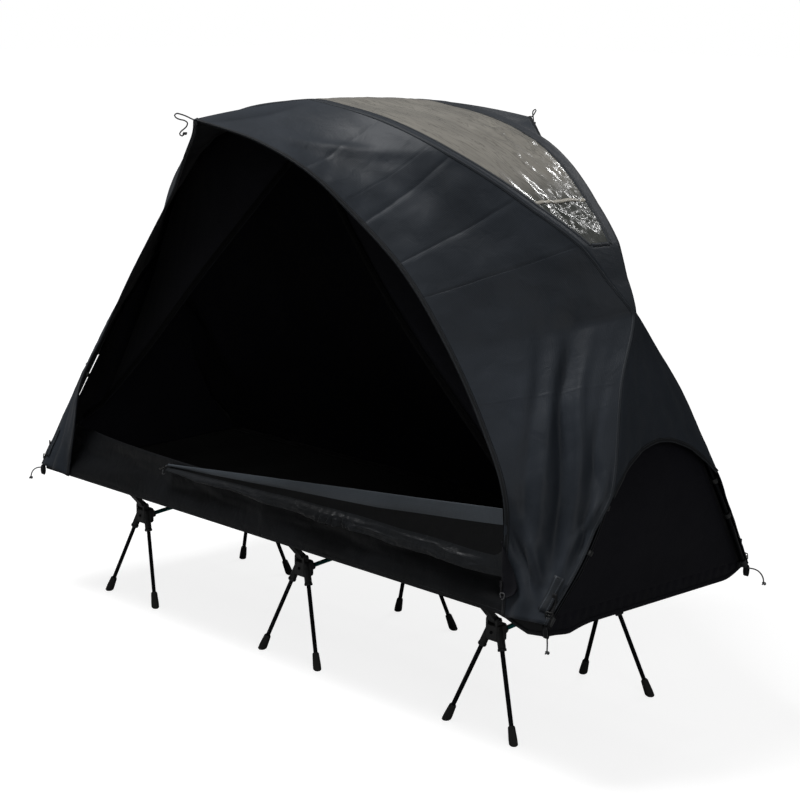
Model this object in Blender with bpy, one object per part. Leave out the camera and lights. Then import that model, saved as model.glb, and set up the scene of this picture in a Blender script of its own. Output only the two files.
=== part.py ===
"""Tent cot: a camp bed on three clip-on leg units, with a pole-hung tent over it.

Metres, +Z up. The bed runs along X, the open door faces -Y and the feet stand on Z = 0.
The origin is on the floor under the middle of the bed.
"""

import math

import bmesh
import bpy
import numpy as np
from mathutils import Matrix, Vector

# Bed
COT_LENGTH = 1.893
COT_WIDTH = 0.680
RAIL_HEIGHT = 0.362
RAIL_RADIUS = 0.007
RAIL_INSET = 0.003
SHEET_THICKNESS = 0.0016
SHEET_SAG = 0.010
SLEEVE_EASE = 0.0004
SLEEVE_WRAP = math.radians(240)
SLEEVE_STEPS = 8
SHEET_STEPS = 5

# Leg units
UNIT_PITCH = 0.681
UNIT_SHIFT = -0.016
HUB_STANCE = 0.195
HUB_HEIGHT = 0.238
HUB_WIDTH = 0.042
HUB_OUTBOARD = 0.018
HUB_INBOARD = 0.016
HUB_TOP = 0.020
HUB_BOTTOM = 0.022
HUB_BEVEL = 0.004
CROSS_POLE_RADIUS = 0.006
CROSS_POLE_SLOPE_SHARE = 0.11
CROSS_POLE_DROP = 0.005
CROSS_POLE_END = 0.005
BOSS_RADIUS = 0.0105
BOSS_LENGTH = 0.014

# Legs and feet
FOOT_SPREAD = 0.110
FOOT_STANCE = 0.245
LEG_RADIUS = 0.0055
LEG_TOP_SPREAD = 0.010
LEG_TOP_OUT = 0.003
LEG_TOP_DROP = 0.008
SOCKET_RADIUS = 0.0095
SOCKET_SKIRT = 0.012
FOOT_HEIGHT = 0.045
FOOT_RADIUS = 0.0108
FOOT_NECK_RADIUS = 0.0088
FOOT_SOLE = 0.014
FOOT_ROUND = 0.003

# Lever arms
PIVOT_OUT = 0.009
PIN_RADIUS = 0.003
EAR_WIDTH = 0.007
EYE_RADIUS = 0.0085
EYE_WIDTH = 0.021
LEVER_THICKNESS = 0.012
LEVER_CRANK = 0.014
HEAD_LENGTH = 0.022
HEAD_FLARE = 0.0055
LIP_RISE = 0.004

# Tent poles
TENT_POLE_RADIUS = 0.00475
POLE_FOOT_OUT = 0.013
POLE_FOOT_IN = 0.0065
POLE_FOOT_DROP = 0.002
RIDGE_HEIGHT = 1.401
VISOR_REACH = 0.565
VISOR_DROP = 0.0508
CROSSING_REACH = 0.100
CROWN_SHIFT = 0.024

# Corner cups
CUP_RADIUS = 0.0075
CUP_DEPTH = 0.016
CUP_FLOOR = 0.004
CUP_PAD_WIDTH = 0.014
CUP_PAD_HEIGHT = 0.014
CUP_PAD_INBOARD = 0.003
CUP_PAD_DROP = 0.002

# Cloth
TENT_CLOTH = 0.002
FLY_CLOTH = 0.0016
WINDOW_FILM = 0.0012
FLY_LIFT = 0.0035
INNER_DROP = 0.014
SKIRT_DROP = 0.014
END_SKIRT_DROP = 0.034
SILL_RISE = 0.113
DOOR_PEAK_DROP = 0.088
DOOR_FOOT_INSET = 0.062
DOOR_BOW = 0.020
FLY_STAND_OFF = 0.005
FLY_CUP_LIFT = 0.0035
HEM_FOOT_INSET = 0.127
HEM_TIP_REACH = 0.007
RIDGE_TENT_SPAN = 0.120
WINDOW_BORDER = 0.026
ARCH_RISE = 0.095
VISOR_SAG = 0.016
SKIRT_BULGE = 0.008
FOLD_DEPTH = 0.006

# The let-down door
LET_DOWN_LEFT = 0.392
LET_DOWN_LEFT_RISE = 0.101
LET_DOWN_RIGHT_RISE = 0.249
LET_DOWN_FOOT_RISE = 0.070
LET_DOWN_FOOT_TILT = 0.012
LET_DOWN_CLOTH = 0.005
LET_DOWN_GAP = 0.003
LET_DOWN_BAND = 0.036
LET_DOWN_GATHER = 0.011
LET_DOWN_GATHER_HEIGHT = 0.030
GATHER_WAVE = 0.003

# Zip sliders
SLIDER_WIDTH = 0.008
SLIDER_DEPTH = 0.004
SLIDER_LENGTH = 0.013
SLIDER_START = 0.072
SLIDER_RUN = 0.120
PULL_WIDTH = 0.005
PULL_DEPTH = 0.0016
PULL_LENGTH = 0.024

# Fits
SEAT_GAP = 0.0003
EAR_GAP = 0.0007
OVERRUN = 0.010
MERGE_DISTANCE = 0.00001

# Round pieces
ROD_SIDES = 10
BORE_SIDES = 12
POLE_BEVEL_RESOLUTION = 2
SHARP_ANGLE = math.radians(35)

# Rows of the tent's cloth, counted down a long pole from the ridge's middle to its foot
ROOF_ROWS = 8
WINDOW_ROWS = 6
END_ROWS = 4
CORNER_ROWS = 4
VISOR_COLUMNS = 6
REAR_COLUMNS = 4
WALL_COLUMNS = 3
LET_DOWN_STEPS = 16

# A long pole's right half: share of the foot's X, share of the foot's Y, share of the ridge's rise
POLE_SHARES = (
    (0.0, -0.609, 1.0),
    (0.238, -0.606, 0.995),
    (0.454, -0.554, 0.940),
    (0.647, -0.403, 0.831),
    (0.816, -0.174, 0.705),
    (0.901, 0.0, 0.596),
    (0.955, 0.255, 0.458),
    (1.015, 0.519, 0.248),
    (1.019, 0.700, 0.142),
    (1.000, 1.0, 0.0),
)
CROSSING_KNOT = 5
ARCH_KNOT = 7
# The front hem's right half: share of its foot's X, share of the tip's Y, share of the tip's rise
HEM_SHARES = (
    (0.0, 1.0, 1.0),
    (0.141, 0.850, 0.961),
    (0.272, 0.745, 0.903),
    (0.408, 0.655, 0.810),
    (0.564, 0.592, 0.699),
    (0.705, 0.568, 0.570),
    (0.854, 0.562, 0.402),
    (0.968, 0.586, 0.244),
    (0.985, 0.603, 0.122),
    (1.0, 0.6215, 0.0),
)
BOTTOM_LEAN_SHARE = 0.93
CORE_WIDTH_SHARE = 0.4
CORE_HEIGHT_SHARE = 0.42
EDGE_TURN_SHARE = 0.25
CHORD_RISE_SHARE = 0.20
WINDOW_END_SHARE = 0.82
# How far the closed rear door draws the crown down behind and lets it up in front
REAR_PULL_SHARE = 0.031

# Free cords, as places chosen along each route
TIP_CORD_RADIUS = 0.0011
CORNER_CORD_RADIUS = 0.0013
CORD_STEPS = 2
FRONT_TIP_ROUTE = (
    (0.0227, -0.5728, 1.3916),
    (0.0197, -0.5780, 1.3943),
    (0.0127, -0.5870, 1.3998),
    (0.0047, -0.5960, 1.4038),
    (-0.0023, -0.6020, 1.4053),
    (-0.0063, -0.6050, 1.4018),
    (-0.0043, -0.6040, 1.3968),
    (0.0027, -0.5970, 1.3918),
    (0.0107, -0.5890, 1.3893),
    (0.0147, -0.5840, 1.3843),
    (0.0137, -0.5850, 1.3773),
    (0.0087, -0.5900, 1.3698),
    (0.0037, -0.5950, 1.3638),
    (0.0017, -0.5970, 1.3578),
    (0.0057, -0.5930, 1.3538),
    (0.0107, -0.5890, 1.3598),
)
REAR_TIP_ROUTE = (
    (0.0227, 0.5736, 1.3588),
    (0.0247, 0.5800, 1.3640),
    (0.0267, 0.5830, 1.3702),
    (0.0272, 0.5870, 1.3762),
    (0.0237, 0.5880, 1.3792),
    (0.0197, 0.5850, 1.3757),
    (0.0202, 0.5815, 1.3687),
    (0.0227, 0.5810, 1.3607),
    (0.0247, 0.5805, 1.3517),
    (0.0257, 0.5810, 1.3427),
)
NEAR_CORD_ROUTE = (
    (0.9613, -0.3478, 0.3560),
    (0.9609, -0.3498, 0.3531),
    (0.9612, -0.3515, 0.3490),
    (0.9620, -0.3525, 0.3430),
    (0.9628, -0.3530, 0.3360),
    (0.9635, -0.3530, 0.3280),
    (0.9637, -0.3525, 0.3200),
    (0.9635, -0.3520, 0.3120),
    (0.9630, -0.3515, 0.3040),
    (0.9625, -0.3510, 0.2960),
)
FAR_LEFT_CORD_ROUTE = (
    (-0.9613, -0.3478, 0.3560),
    (-0.9609, -0.3498, 0.3531),
    (-0.9640, -0.3530, 0.3505),
    (-0.9700, -0.3570, 0.3490),
    (-0.9770, -0.3610, 0.3475),
    (-0.9840, -0.3650, 0.3445),
    (-0.9900, -0.3685, 0.3395),
    (-0.9945, -0.3710, 0.3325),
    (-0.9970, -0.3725, 0.3245),
    (-0.9980, -0.3730, 0.3160),
)
FAR_RIGHT_CORD_ROUTE = (
    (0.9613, 0.3478, 0.3560),
    (0.9609, 0.3498, 0.3531),
    (0.9640, 0.3535, 0.3505),
    (0.9700, 0.3590, 0.3490),
    (0.9770, 0.3650, 0.3475),
    (0.9835, 0.3705, 0.3440),
    (0.9890, 0.3750, 0.3380),
    (0.9930, 0.3785, 0.3300),
    (0.9950, 0.3805, 0.3210),
    (0.9955, 0.3815, 0.3120),
)

# Places worked out from the sizes
SLEEVE_BORE = RAIL_RADIUS + SLEEVE_EASE
SLEEVE_RADIUS = SLEEVE_BORE + SHEET_THICKNESS
RAIL_Y = COT_WIDTH / 2
BED_END = COT_LENGTH / 2
RAIL_END = BED_END - RAIL_INSET
WALL_Y = RAIL_Y + SLEEVE_RADIUS + SLEEVE_EASE + TENT_CLOTH
WALL_X = BED_END + SLEEVE_EASE + TENT_CLOTH
SHOULDER_Z = RAIL_HEIGHT + SLEEVE_RADIUS / 2
SKIRT_Z = RAIL_HEIGHT - SKIRT_DROP
END_SKIRT_Z = RAIL_HEIGHT - END_SKIRT_DROP
SILL_Z = RAIL_HEIGHT + SILL_RISE
POLE_FOOT = np.array((WALL_X + POLE_FOOT_OUT, WALL_Y - POLE_FOOT_IN, RAIL_HEIGHT - POLE_FOOT_DROP))
RIDGE_RISE = RIDGE_HEIGHT - POLE_FOOT[2]
FLY_SKIRT_Y = WALL_Y + FLY_STAND_OFF
FLY_OUT = TENT_POLE_RADIUS + FLY_LIFT
POLE_LIFT = TENT_POLE_RADIUS + SEAT_GAP
RIDGE_Y = -POLE_SHARES[0][1] * POLE_FOOT[1]
RIDGE_POLE_TOP = (
    RIDGE_HEIGHT + 2 * TENT_POLE_RADIUS + SEAT_GAP + VISOR_DROP * (RIDGE_Y / VISOR_REACH) ** 2
)
HEM_FOOT_X = BED_END + POLE_FOOT_OUT - HEM_FOOT_INSET
TIP_Y = VISOR_REACH + HEM_TIP_REACH
PIVOT_UP = HUB_TOP + EYE_RADIUS + EAR_GAP
PIVOT = Vector((0, -HUB_STANCE - PIVOT_OUT, HUB_HEIGHT + PIVOT_UP))
LEVER_REACH = (Vector((0, -RAIL_Y, RAIL_HEIGHT)) - PIVOT).length
LEVER_DIRECTION = (Vector((0, -RAIL_Y, RAIL_HEIGHT)) - PIVOT).normalized()

UNITS = (("left", -UNIT_PITCH), ("middle", 0), ("right", UNIT_PITCH))
SIDES = (("front", 0), ("rear", math.pi))
LEANS = (("left", -1), ("right", 1))


def finish(name, colour, roughness, metallic):
    """A Principled material."""
    material = bpy.data.materials.new(name)
    material.use_nodes = True
    shader = material.node_tree.nodes["Principled BSDF"]
    shader.inputs["Base Color"].default_value = (*colour, 1)
    shader.inputs["Roughness"].default_value = roughness
    shader.inputs["Metallic"].default_value = metallic
    return material


def add_object(name, data, material, location=(0, 0, 0), turn=0):
    """Puts a mesh or curve in the scene, turned about Z."""
    item = bpy.data.objects.new(name, data)
    item.location = location
    item.rotation_euler = (0, 0, turn)
    if not data.materials:
        data.materials.append(material)
    bpy.context.scene.collection.objects.link(item)
    return item


def mesh_of(name, shape):
    """Turns a bmesh into a smooth-shaded mesh with sharp corners kept."""
    mesh = bpy.data.meshes.new(name)
    shape.to_mesh(mesh)
    shape.free()
    mesh.shade_smooth()
    mesh.set_sharp_from_angle(angle=SHARP_ANGLE)
    return mesh


def box(low, high, bevel=0):
    """A box between two corners, its edges rounded off by bevel."""
    shape = bmesh.new()
    size = Vector(high) - Vector(low)
    place = Matrix.Translation(Vector(low) + size / 2) @ Matrix.Diagonal((*size, 1))
    bmesh.ops.create_cube(shape, size=1, matrix=place)
    if bevel:
        bmesh.ops.bevel(shape, geom=shape.edges[:], offset=bevel, segments=1, affect="EDGES")
    return shape


def rod(start, end, radius, sides=ROD_SIDES):
    """A straight round bar between two points."""
    start = Vector(start)
    end = Vector(end)
    along = end - start
    turn = Vector((0, 0, 1)).rotation_difference(along).to_matrix().to_4x4()
    place = Matrix.Translation((start + end) / 2) @ turn
    shape = bmesh.new()
    bmesh.ops.create_cone(
        shape,
        cap_ends=True,
        segments=sides,
        radius1=radius,
        radius2=radius,
        depth=along.length,
        matrix=place,
    )
    return shape


def bore(start, end, radius):
    """A cutter for a round hole whose flats clear the radius."""
    return rod(start, end, (radius + SEAT_GAP) / math.cos(math.pi / BORE_SIDES), BORE_SIDES)


def loft(rings, closed_ends=True):
    """A skin over rings with equal numbers of points, capped at both ends."""
    shape = bmesh.new()
    rows = [[shape.verts.new(point) for point in ring] for ring in rings]
    for low, high in zip(rows, rows[1:]):
        for i in range(len(low)):
            j = (i + 1) % len(low)
            shape.faces.new((low[i], low[j], high[j], high[i]))
    if closed_ends:
        shape.faces.new(rows[0][::-1])
        shape.faces.new(rows[-1])
    bmesh.ops.recalc_face_normals(shape, faces=shape.faces[:])
    return shape


def carve(name, body, joins=(), cuts=()):
    """The body with other shapes joined on and cut out, as one mesh."""
    helpers = []
    whole = bpy.data.objects.new(name, mesh_of(name, body))
    bpy.context.scene.collection.objects.link(whole)
    for operation, shapes in (("UNION", joins), ("DIFFERENCE", cuts)):
        for shape in shapes:
            helper = bpy.data.objects.new(name + "_helper", mesh_of(name, shape))
            bpy.context.scene.collection.objects.link(helper)
            modifier = whole.modifiers.new(operation.lower(), "BOOLEAN")
            modifier.operation = operation
            modifier.object = helper
            helpers.append(helper)
    graph = bpy.context.evaluated_depsgraph_get()
    mesh = bpy.data.meshes.new_from_object(whole.evaluated_get(graph))
    mesh.name = name
    mesh.set_sharp_from_angle(angle=SHARP_ANGLE)
    for helper in (*helpers, whole):
        bpy.data.objects.remove(helper)
    return mesh


def chord_shares(points):
    """How far along its chords each point lies, from 0 to 1."""
    steps = np.linalg.norm(np.diff(points, axis=0), axis=1)
    return np.concatenate([[0], np.cumsum(steps)]) / steps.sum()


def smooth_curve(points, shares):
    """Places on a smooth curve through the points, at shares of its chord length."""
    points = np.array(points, float)
    shares = np.asarray(shares, float)
    knots = chord_shares(points)
    slopes = np.gradient(points, knots, axis=0)
    i = np.clip(np.searchsorted(knots, shares, side="right") - 1, 0, len(knots) - 2)
    width = (knots[i + 1] - knots[i])[:, None]
    s = (shares - knots[i])[:, None] / width
    return (
        (2 * s**3 - 3 * s**2 + 1) * points[i]
        + (s**3 - 2 * s**2 + s) * width * slopes[i]
        + (3 * s**2 - 2 * s**3) * points[i + 1]
        + (s**3 - s**2) * width * slopes[i + 1]
    )


def tube_curve(name, points, radius, material):
    """A round bar or cord along the points, as a curve with filled ends."""
    curve = bpy.data.curves.new(name, "CURVE")
    curve.dimensions = "3D"
    curve.bevel_depth = radius
    curve.bevel_resolution = POLE_BEVEL_RESOLUTION
    curve.use_fill_caps = True
    spline = curve.splines.new("POLY")
    spline.points.add(len(points) - 1)
    for knot, point in zip(spline.points, points):
        knot.co = (*point, 1)
    return add_object(name, curve, material)


def unit(vectors):
    """The vectors, each scaled to a length of one."""
    return vectors / np.linalg.norm(vectors, axis=-1, keepdims=True)


def build_bed(sheet_finish, rail_finish):
    """The bed sheet with its two sleeves, and the rails inside them."""
    top = SLEEVE_RADIUS
    bottom = SLEEVE_BORE
    ring = np.linspace(math.pi / 2, math.pi / 2 + SLEEVE_WRAP, SLEEVE_STEPS + 1)
    across = np.linspace(0, RAIL_Y, SHEET_STEPS + 1)[:-1]
    sag = -SHEET_SAG * (1 - (across / RAIL_Y) ** 2)
    half = [(-y, top + z) for y, z in zip(across, sag)]
    half += [(-RAIL_Y + top * math.cos(a), top * math.sin(a)) for a in ring]
    under = [(-RAIL_Y + bottom * math.cos(a), bottom * math.sin(a)) for a in ring[::-1]]
    under += [(-y, bottom + z) for y, z in zip(across[::-1], sag[::-1])]
    outline = half + under
    outline += [(-y, z) for y, z in reversed(under[:-1])]
    outline += [(-y, z) for y, z in reversed(half[1:])]
    rings = [[(x, y, RAIL_HEIGHT + z) for y, z in outline] for x in (-BED_END, BED_END)]
    notches = []
    reach = EYE_WIDTH / 2 + LIP_RISE
    for _, place in UNITS:
        x = place + UNIT_SHIFT
        for side in (-1, 1):
            ends = sorted((side * (RAIL_Y - HEAD_LENGTH), side * (RAIL_Y + HEAD_LENGTH)))
            notches.append(
                box(
                    (x - reach, ends[0], RAIL_HEIGHT - HEAD_LENGTH),
                    (x + reach, ends[1], RAIL_HEIGHT + LIP_RISE),
                )
            )
    add_object("bed_sheet", carve("bed_sheet", loft(rings), cuts=notches), sheet_finish)
    for name, side in (("rail_front", -1), ("rail_rear", 1)):
        y = side * RAIL_Y
        bar = rod((-RAIL_END, y, RAIL_HEIGHT), (RAIL_END, y, RAIL_HEIGHT), RAIL_RADIUS, BORE_SIDES)
        add_object(name, mesh_of(name, bar), rail_finish)


def leg_axis(lean):
    """A leg's top end and its foot's middle on the floor, from the hub's own centre."""
    foot = Vector((lean * FOOT_SPREAD, HUB_STANCE - FOOT_STANCE, -HUB_HEIGHT))
    high = Vector((lean * LEG_TOP_SPREAD, -LEG_TOP_OUT, HUB_TOP))
    down = (foot - high).normalized()
    top = high + down * (LEG_TOP_DROP / -down.z)
    return top, foot, down


def hub_mesh():
    """A hub: a block with two leg sockets, a boss for the cross pole and two ears for the lever."""
    low = (-HUB_WIDTH / 2, -HUB_OUTBOARD, -HUB_BOTTOM)
    high = (HUB_WIDTH / 2, HUB_INBOARD, HUB_TOP)
    rise = Vector((0, 1, CROSS_POLE_SLOPE_SHARE)).normalized()
    seat = Vector((0, 0, -CROSS_POLE_DROP))
    mouth = seat + rise * (HUB_INBOARD + BOSS_LENGTH)
    joins = [rod(seat + rise * (HUB_INBOARD - BOSS_LENGTH / 2), mouth, BOSS_RADIUS)]
    end = seat + rise * (CROSS_POLE_END - SEAT_GAP)
    cuts = [bore(end, mouth + rise * OVERRUN, CROSS_POLE_RADIUS)]
    for _, lean in LEANS:
        top, _, down = leg_axis(lean)
        skirt = top + down * ((top.z + HUB_BOTTOM + SOCKET_SKIRT) / -down.z)
        joins.append(rod(top, skirt, SOCKET_RADIUS))
        cuts.append(bore(top - down * SEAT_GAP, skirt + down * OVERRUN, LEG_RADIUS))
        inner = lean * (EYE_WIDTH / 2 + EAR_GAP)
        outer = inner + lean * EAR_WIDTH
        pivot = (-PIVOT_OUT, PIVOT_UP)
        joins.append(ear(sorted((inner, outer)), pivot))
    reach = EYE_WIDTH / 2 + EAR_GAP + EAR_WIDTH + OVERRUN
    cuts.append(bore((-reach, -PIVOT_OUT, PIVOT_UP), (reach, -PIVOT_OUT, PIVOT_UP), PIN_RADIUS))
    return carve("hub", box(low, high, HUB_BEVEL), joins, cuts)


def ear(ends, pivot):
    """One ear: a plate across the ends in X, round about the pivot and rooted in the hub."""
    angles = np.linspace(0, math.pi, SLEEVE_STEPS // 2 + 1)
    outline = [
        (pivot[0] + EYE_RADIUS * math.cos(a), pivot[1] + EYE_RADIUS * math.sin(a)) for a in angles
    ]
    outline += [(pivot[0] - EYE_RADIUS, 0), (pivot[0] + EYE_RADIUS, 0)]
    return loft([[(x, y, z) for y, z in outline] for x in ends])


def lever_mesh():
    """A cranked lever arm along its own U, from the pin to a hooked head that seats the rail."""
    rail = RAIL_RADIUS + SEAT_GAP
    seat = LEVER_REACH - rail
    half = LEVER_THICKNESS / 2
    lip = half + HEAD_FLARE
    back = np.linspace(math.pi / 2, 3 * math.pi / 2, SLEEVE_STEPS // 2 + 1)
    outline = [(EYE_RADIUS * math.cos(a), EYE_RADIUS * math.sin(a)) for a in back]
    arm = [
        (u, -LEVER_CRANK * math.sin(math.pi * u / seat))
        for u in np.linspace(2 * EYE_RADIUS, seat - HEAD_LENGTH, SLEEVE_STEPS // 2 + 1)
    ]
    outline += [(u, w - half) for u, w in arm]
    outline += [(seat - HEAD_LENGTH / 2, -lip + LIP_RISE), (seat - SEAT_GAP, -lip + LIP_RISE)]
    rise = math.acos((rail - LIP_RISE) / rail)
    for a in np.linspace(0, rise, SLEEVE_STEPS // 2):
        outline.append((LEVER_REACH - rail * math.cos(a), rail * math.sin(a)))
    outline += [(seat + LIP_RISE, lip), (seat - HEAD_LENGTH / 2, lip)]
    outline += [(u, w + half) for u, w in arm[::-1]]
    turn = math.atan2(LEVER_DIRECTION.z, LEVER_DIRECTION.y)
    rings = [
        [
            (x, u * math.cos(turn) - w * math.sin(turn), u * math.sin(turn) + w * math.cos(turn))
            for u, w in outline
        ]
        for x in (-EYE_WIDTH / 2, EYE_WIDTH / 2)
    ]
    reach = EYE_WIDTH / 2 + EAR_GAP + EAR_WIDTH
    pin = rod((-reach, 0, 0), (reach, 0, 0), PIN_RADIUS)
    return carve("lever", loft(rings), joins=[pin])


def foot_mesh(lean):
    """A rubber foot: a flared cap round the leg's end, cut level where it stands."""
    top, foot, down = leg_axis(lean)
    side = down.cross(Vector((0, 0, 1))).normalized()
    other = down.cross(side)
    angles = np.linspace(0, 2 * math.pi, ROD_SIDES, endpoint=False)
    spokes = [side * math.cos(a) + other * math.sin(a) for a in angles]
    bored = (LEG_RADIUS + SEAT_GAP) / math.cos(math.pi / ROD_SIDES)

    def level(radius, height):
        ring = []
        for spoke in spokes:
            reach = spoke * radius
            ring.append(reach + down * ((height - reach.z) / down.z))
        return ring

    def square(radius, height):
        return [spoke * radius - down * height for spoke in spokes]

    rings = [
        level(FOOT_RADIUS - FOOT_ROUND, 0),
        level(FOOT_RADIUS, FOOT_ROUND),
        square(FOOT_RADIUS, FOOT_SOLE),
        square(FOOT_NECK_RADIUS, FOOT_HEIGHT - FOOT_ROUND),
        square(FOOT_NECK_RADIUS - FOOT_ROUND / 2, FOOT_HEIGHT),
        square(bored, FOOT_HEIGHT),
        square(bored, FOOT_SOLE),
    ]
    return mesh_of("foot", loft(rings))


def cross_pole_points():
    """A cross pole: straight inside each hub, then one low arch across."""
    slant = math.hypot(1, CROSS_POLE_SLOPE_SHARE)
    mouth = (HUB_INBOARD + BOSS_LENGTH) / slant
    end = CROSS_POLE_END / slant
    span = HUB_STANCE - mouth
    base = HUB_HEIGHT - CROSS_POLE_DROP
    start = base + mouth * CROSS_POLE_SLOPE_SHARE
    arch = [
        (0, y, start + CROSS_POLE_SLOPE_SHARE * span / 2 * (1 - (y / span) ** 2))
        for y in np.linspace(-span, span, 2 * SLEEVE_STEPS + 1)
    ]
    tail = base + end * CROSS_POLE_SLOPE_SHARE
    return [(0, -HUB_STANCE + end, tail), *arch, (0, HUB_STANCE - end, tail)]


def build_leg_units(hub_finish, pole_finish, leg_finish, foot_finish):
    """Three leg units: cross pole, two hubs, two levers, four legs and four feet each."""
    hub = hub_mesh()
    lever = lever_mesh()
    feet = {lean: foot_mesh(lean) for _, lean in LEANS}
    legs = {}
    for _, lean in LEANS:
        top, foot, down = leg_axis(lean)
        low = foot - down * (FOOT_SOLE + SEAT_GAP)
        legs[lean] = mesh_of("leg", rod(top - foot, low - foot, LEG_RADIUS))
    for unit_name, place in UNITS:
        x = place + UNIT_SHIFT
        tube = tube_curve("cross_pole_" + unit_name, cross_pole_points(), CROSS_POLE_RADIUS, pole_finish)
        tube.location.x = x
        for side_name, turn in SIDES:
            facing = Matrix.Rotation(turn, 4, "Z")
            end = unit_name + "_" + side_name
            centre = facing @ Vector((0, -HUB_STANCE, HUB_HEIGHT)) + Vector((x, 0, 0))
            add_object("hub_" + end, hub, hub_finish, centre, turn)
            pivot = facing @ PIVOT + Vector((x, 0, 0))
            add_object("lever_" + end, lever, hub_finish, pivot, turn)
            for lean_name, lean in LEANS:
                local = lean if side_name == "front" else -lean
                floor = facing @ leg_axis(local)[1] + centre
                tag = end + "_leaning_" + lean_name
                add_object("leg_" + tag, legs[local], leg_finish, floor, turn)
                add_object("foot_" + tag, feet[local], foot_finish, floor, turn)


def pole_half():
    """The right half of a long pole, from the ridge's middle to its foot at the back."""
    shares = np.array(POLE_SHARES)
    points = shares * (POLE_FOOT[0], POLE_FOOT[1], RIDGE_RISE)
    points[:, 2] += POLE_FOOT[2]
    return points


def pole_line(shares):
    """Places on a long pole's right half, at shares of the way from the ridge to the foot."""
    right = pole_half()
    left = right[:0:-1] * (-1, 1, 1)
    return smooth_curve(np.vstack([left, right]), (1 + np.asarray(shares)) / 2)


def knot_share(knot):
    """How far down the pole's right half a knot of its table lies."""
    return chord_shares(pole_half())[knot]


def outward(points):
    """The way out of the tent at each place, away from a core above the bed."""
    core = points * (CORE_WIDTH_SHARE, 0, 0)
    core[..., 2] = RIDGE_HEIGHT * CORE_HEIGHT_SHARE
    return unit(points - core)


def crossing_lift(shares):
    """How far the outer pole rides out over the inner one where they cross."""
    reach = CROSSING_REACH / (RIDGE_HEIGHT + POLE_FOOT[0])
    return POLE_LIFT * np.exp(-(((np.asarray(shares) - knot_share(CROSSING_KNOT)) / reach) ** 2))


def ridge_pole_height(y):
    """Height of the short ridge pole's centre line."""
    return RIDGE_POLE_TOP - VISOR_DROP * (y / VISOR_REACH) ** 2


def drawn(point):
    """Where a place on the tent goes as the closed rear door draws on its crown."""
    x, y, z = point
    rise = max((z - RAIL_HEIGHT) / RIDGE_RISE, 0) ** 2
    return (x + CROWN_SHIFT * rise * (1 - x / POLE_FOOT[0]), y, z - REAR_PULL_SHARE * rise * y)


def build_poles(material):
    """Two long poles that cross at both ends, and the short ridge pole over them."""
    rows = cloth_rows()
    shares = np.interp(np.arange(2 * len(rows) - 1) / 2, np.arange(len(rows)), rows)
    half = pole_line(shares)
    for name, lift, side in (("tent_pole_front", 1, 1), ("tent_pole_rear", -1, -1)):
        points = half + outward(half) * (lift * crossing_lift(shares))[:, None]
        points = np.vstack([points[:0:-1] * (-1, 1, 1), points]) * (1, side, 1)
        tube_curve(name, [drawn(point) for point in points], TENT_POLE_RADIUS, material)
    across = np.linspace(-VISOR_REACH, VISOR_REACH, 2 * SLEEVE_STEPS + 1)
    points = [drawn((0, y, ridge_pole_height(y))) for y in across]
    tube_curve("ridge_pole", points, TENT_POLE_RADIUS, material)


def build_corner_cups(material):
    """A cup on the end wall at each corner, round the foot of a long pole."""
    ends = pole_line((1, 1 - EDGE_TURN_SHARE / 10))
    along = Vector(unit(ends[1] - ends[0]))
    foot = Vector(ends[0])
    low = foot - along * (CUP_FLOOR + SEAT_GAP)
    cup = rod(low, foot + along * CUP_DEPTH, CUP_RADIUS, BORE_SIDES)
    middle = (foot.y - CUP_PAD_INBOARD, foot.z - CUP_PAD_DROP)
    pad = box(
        (WALL_X + SEAT_GAP, middle[0] - CUP_PAD_WIDTH / 2, middle[1] - CUP_PAD_HEIGHT / 2),
        (foot.x - TENT_POLE_RADIUS, middle[0] + CUP_PAD_WIDTH / 2, middle[1] + CUP_PAD_HEIGHT / 2),
        CUP_FLOOR / 4,
    )
    hole = bore(foot - along * SEAT_GAP, foot + along * (CUP_DEPTH + OVERRUN), TENT_POLE_RADIUS)
    mesh = carve("corner_cup", cup, joins=[pad], cuts=[hole])
    for x_name, x_side in (("left", -1), ("right", 1)):
        for y_name, y_side in (("front", -1), ("rear", 1)):
            turned = mesh.copy()
            turned.transform(Matrix.Diagonal((x_side, y_side, 1, 1)))
            if x_side * y_side < 0:
                turned.flip_normals()
            add_object("corner_cup_%s_%s" % (x_name, y_name), turned, material)


def cloth_rows():
    """Shares down a long pole at which the tent's cloth has its rows."""
    cross = knot_share(CROSSING_KNOT)
    arch = knot_share(ARCH_KNOT)
    window = np.linspace(0, cross * WINDOW_END_SHARE, WINDOW_ROWS + 1)
    roof = np.concatenate([window, np.linspace(window[-1], cross, ROOF_ROWS - WINDOW_ROWS + 1)[1:]])
    end = np.linspace(cross, arch, END_ROWS + 1)[1:]
    corner = np.linspace(arch, 1, CORNER_ROWS + 1)[1:]
    return np.concatenate([roof, end, corner])


def fly_edge(rows):
    """The front ridge and corner line of the fly's inner face, outside the poles."""
    base = pole_line(rows)
    base[:, 1] = -np.abs(base[:, 1])
    way = outward(base)
    arch = knot_share(ARCH_KNOT)
    turn = np.clip((rows - arch) / ((1 - arch) * EDGE_TURN_SHARE), 0, 1)[:, None]
    way = unit(way * (1 - turn) + np.array((EDGE_TURN_SHARE, -1, 0)) * turn)
    bend = np.zeros(len(rows))
    bend[1:-1] = np.linalg.norm(base[:-2] - 2 * base[1:-1] + base[2:], axis=1) * CHORD_RISE_SHARE
    lift = FLY_OUT + crossing_lift(rows) + bend + FLY_CUP_LIFT * turn[:, 0]
    edge = base + way * lift[:, None]
    top = ridge_pole_height(edge[0, 1]) + FLY_OUT - edge[0, 2]
    edge[:, 2] += top * np.exp(-((edge[:, 0] / RIDGE_TENT_SPAN) ** 2))
    edge[-1, 1] = -FLY_SKIRT_Y
    return edge


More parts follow.
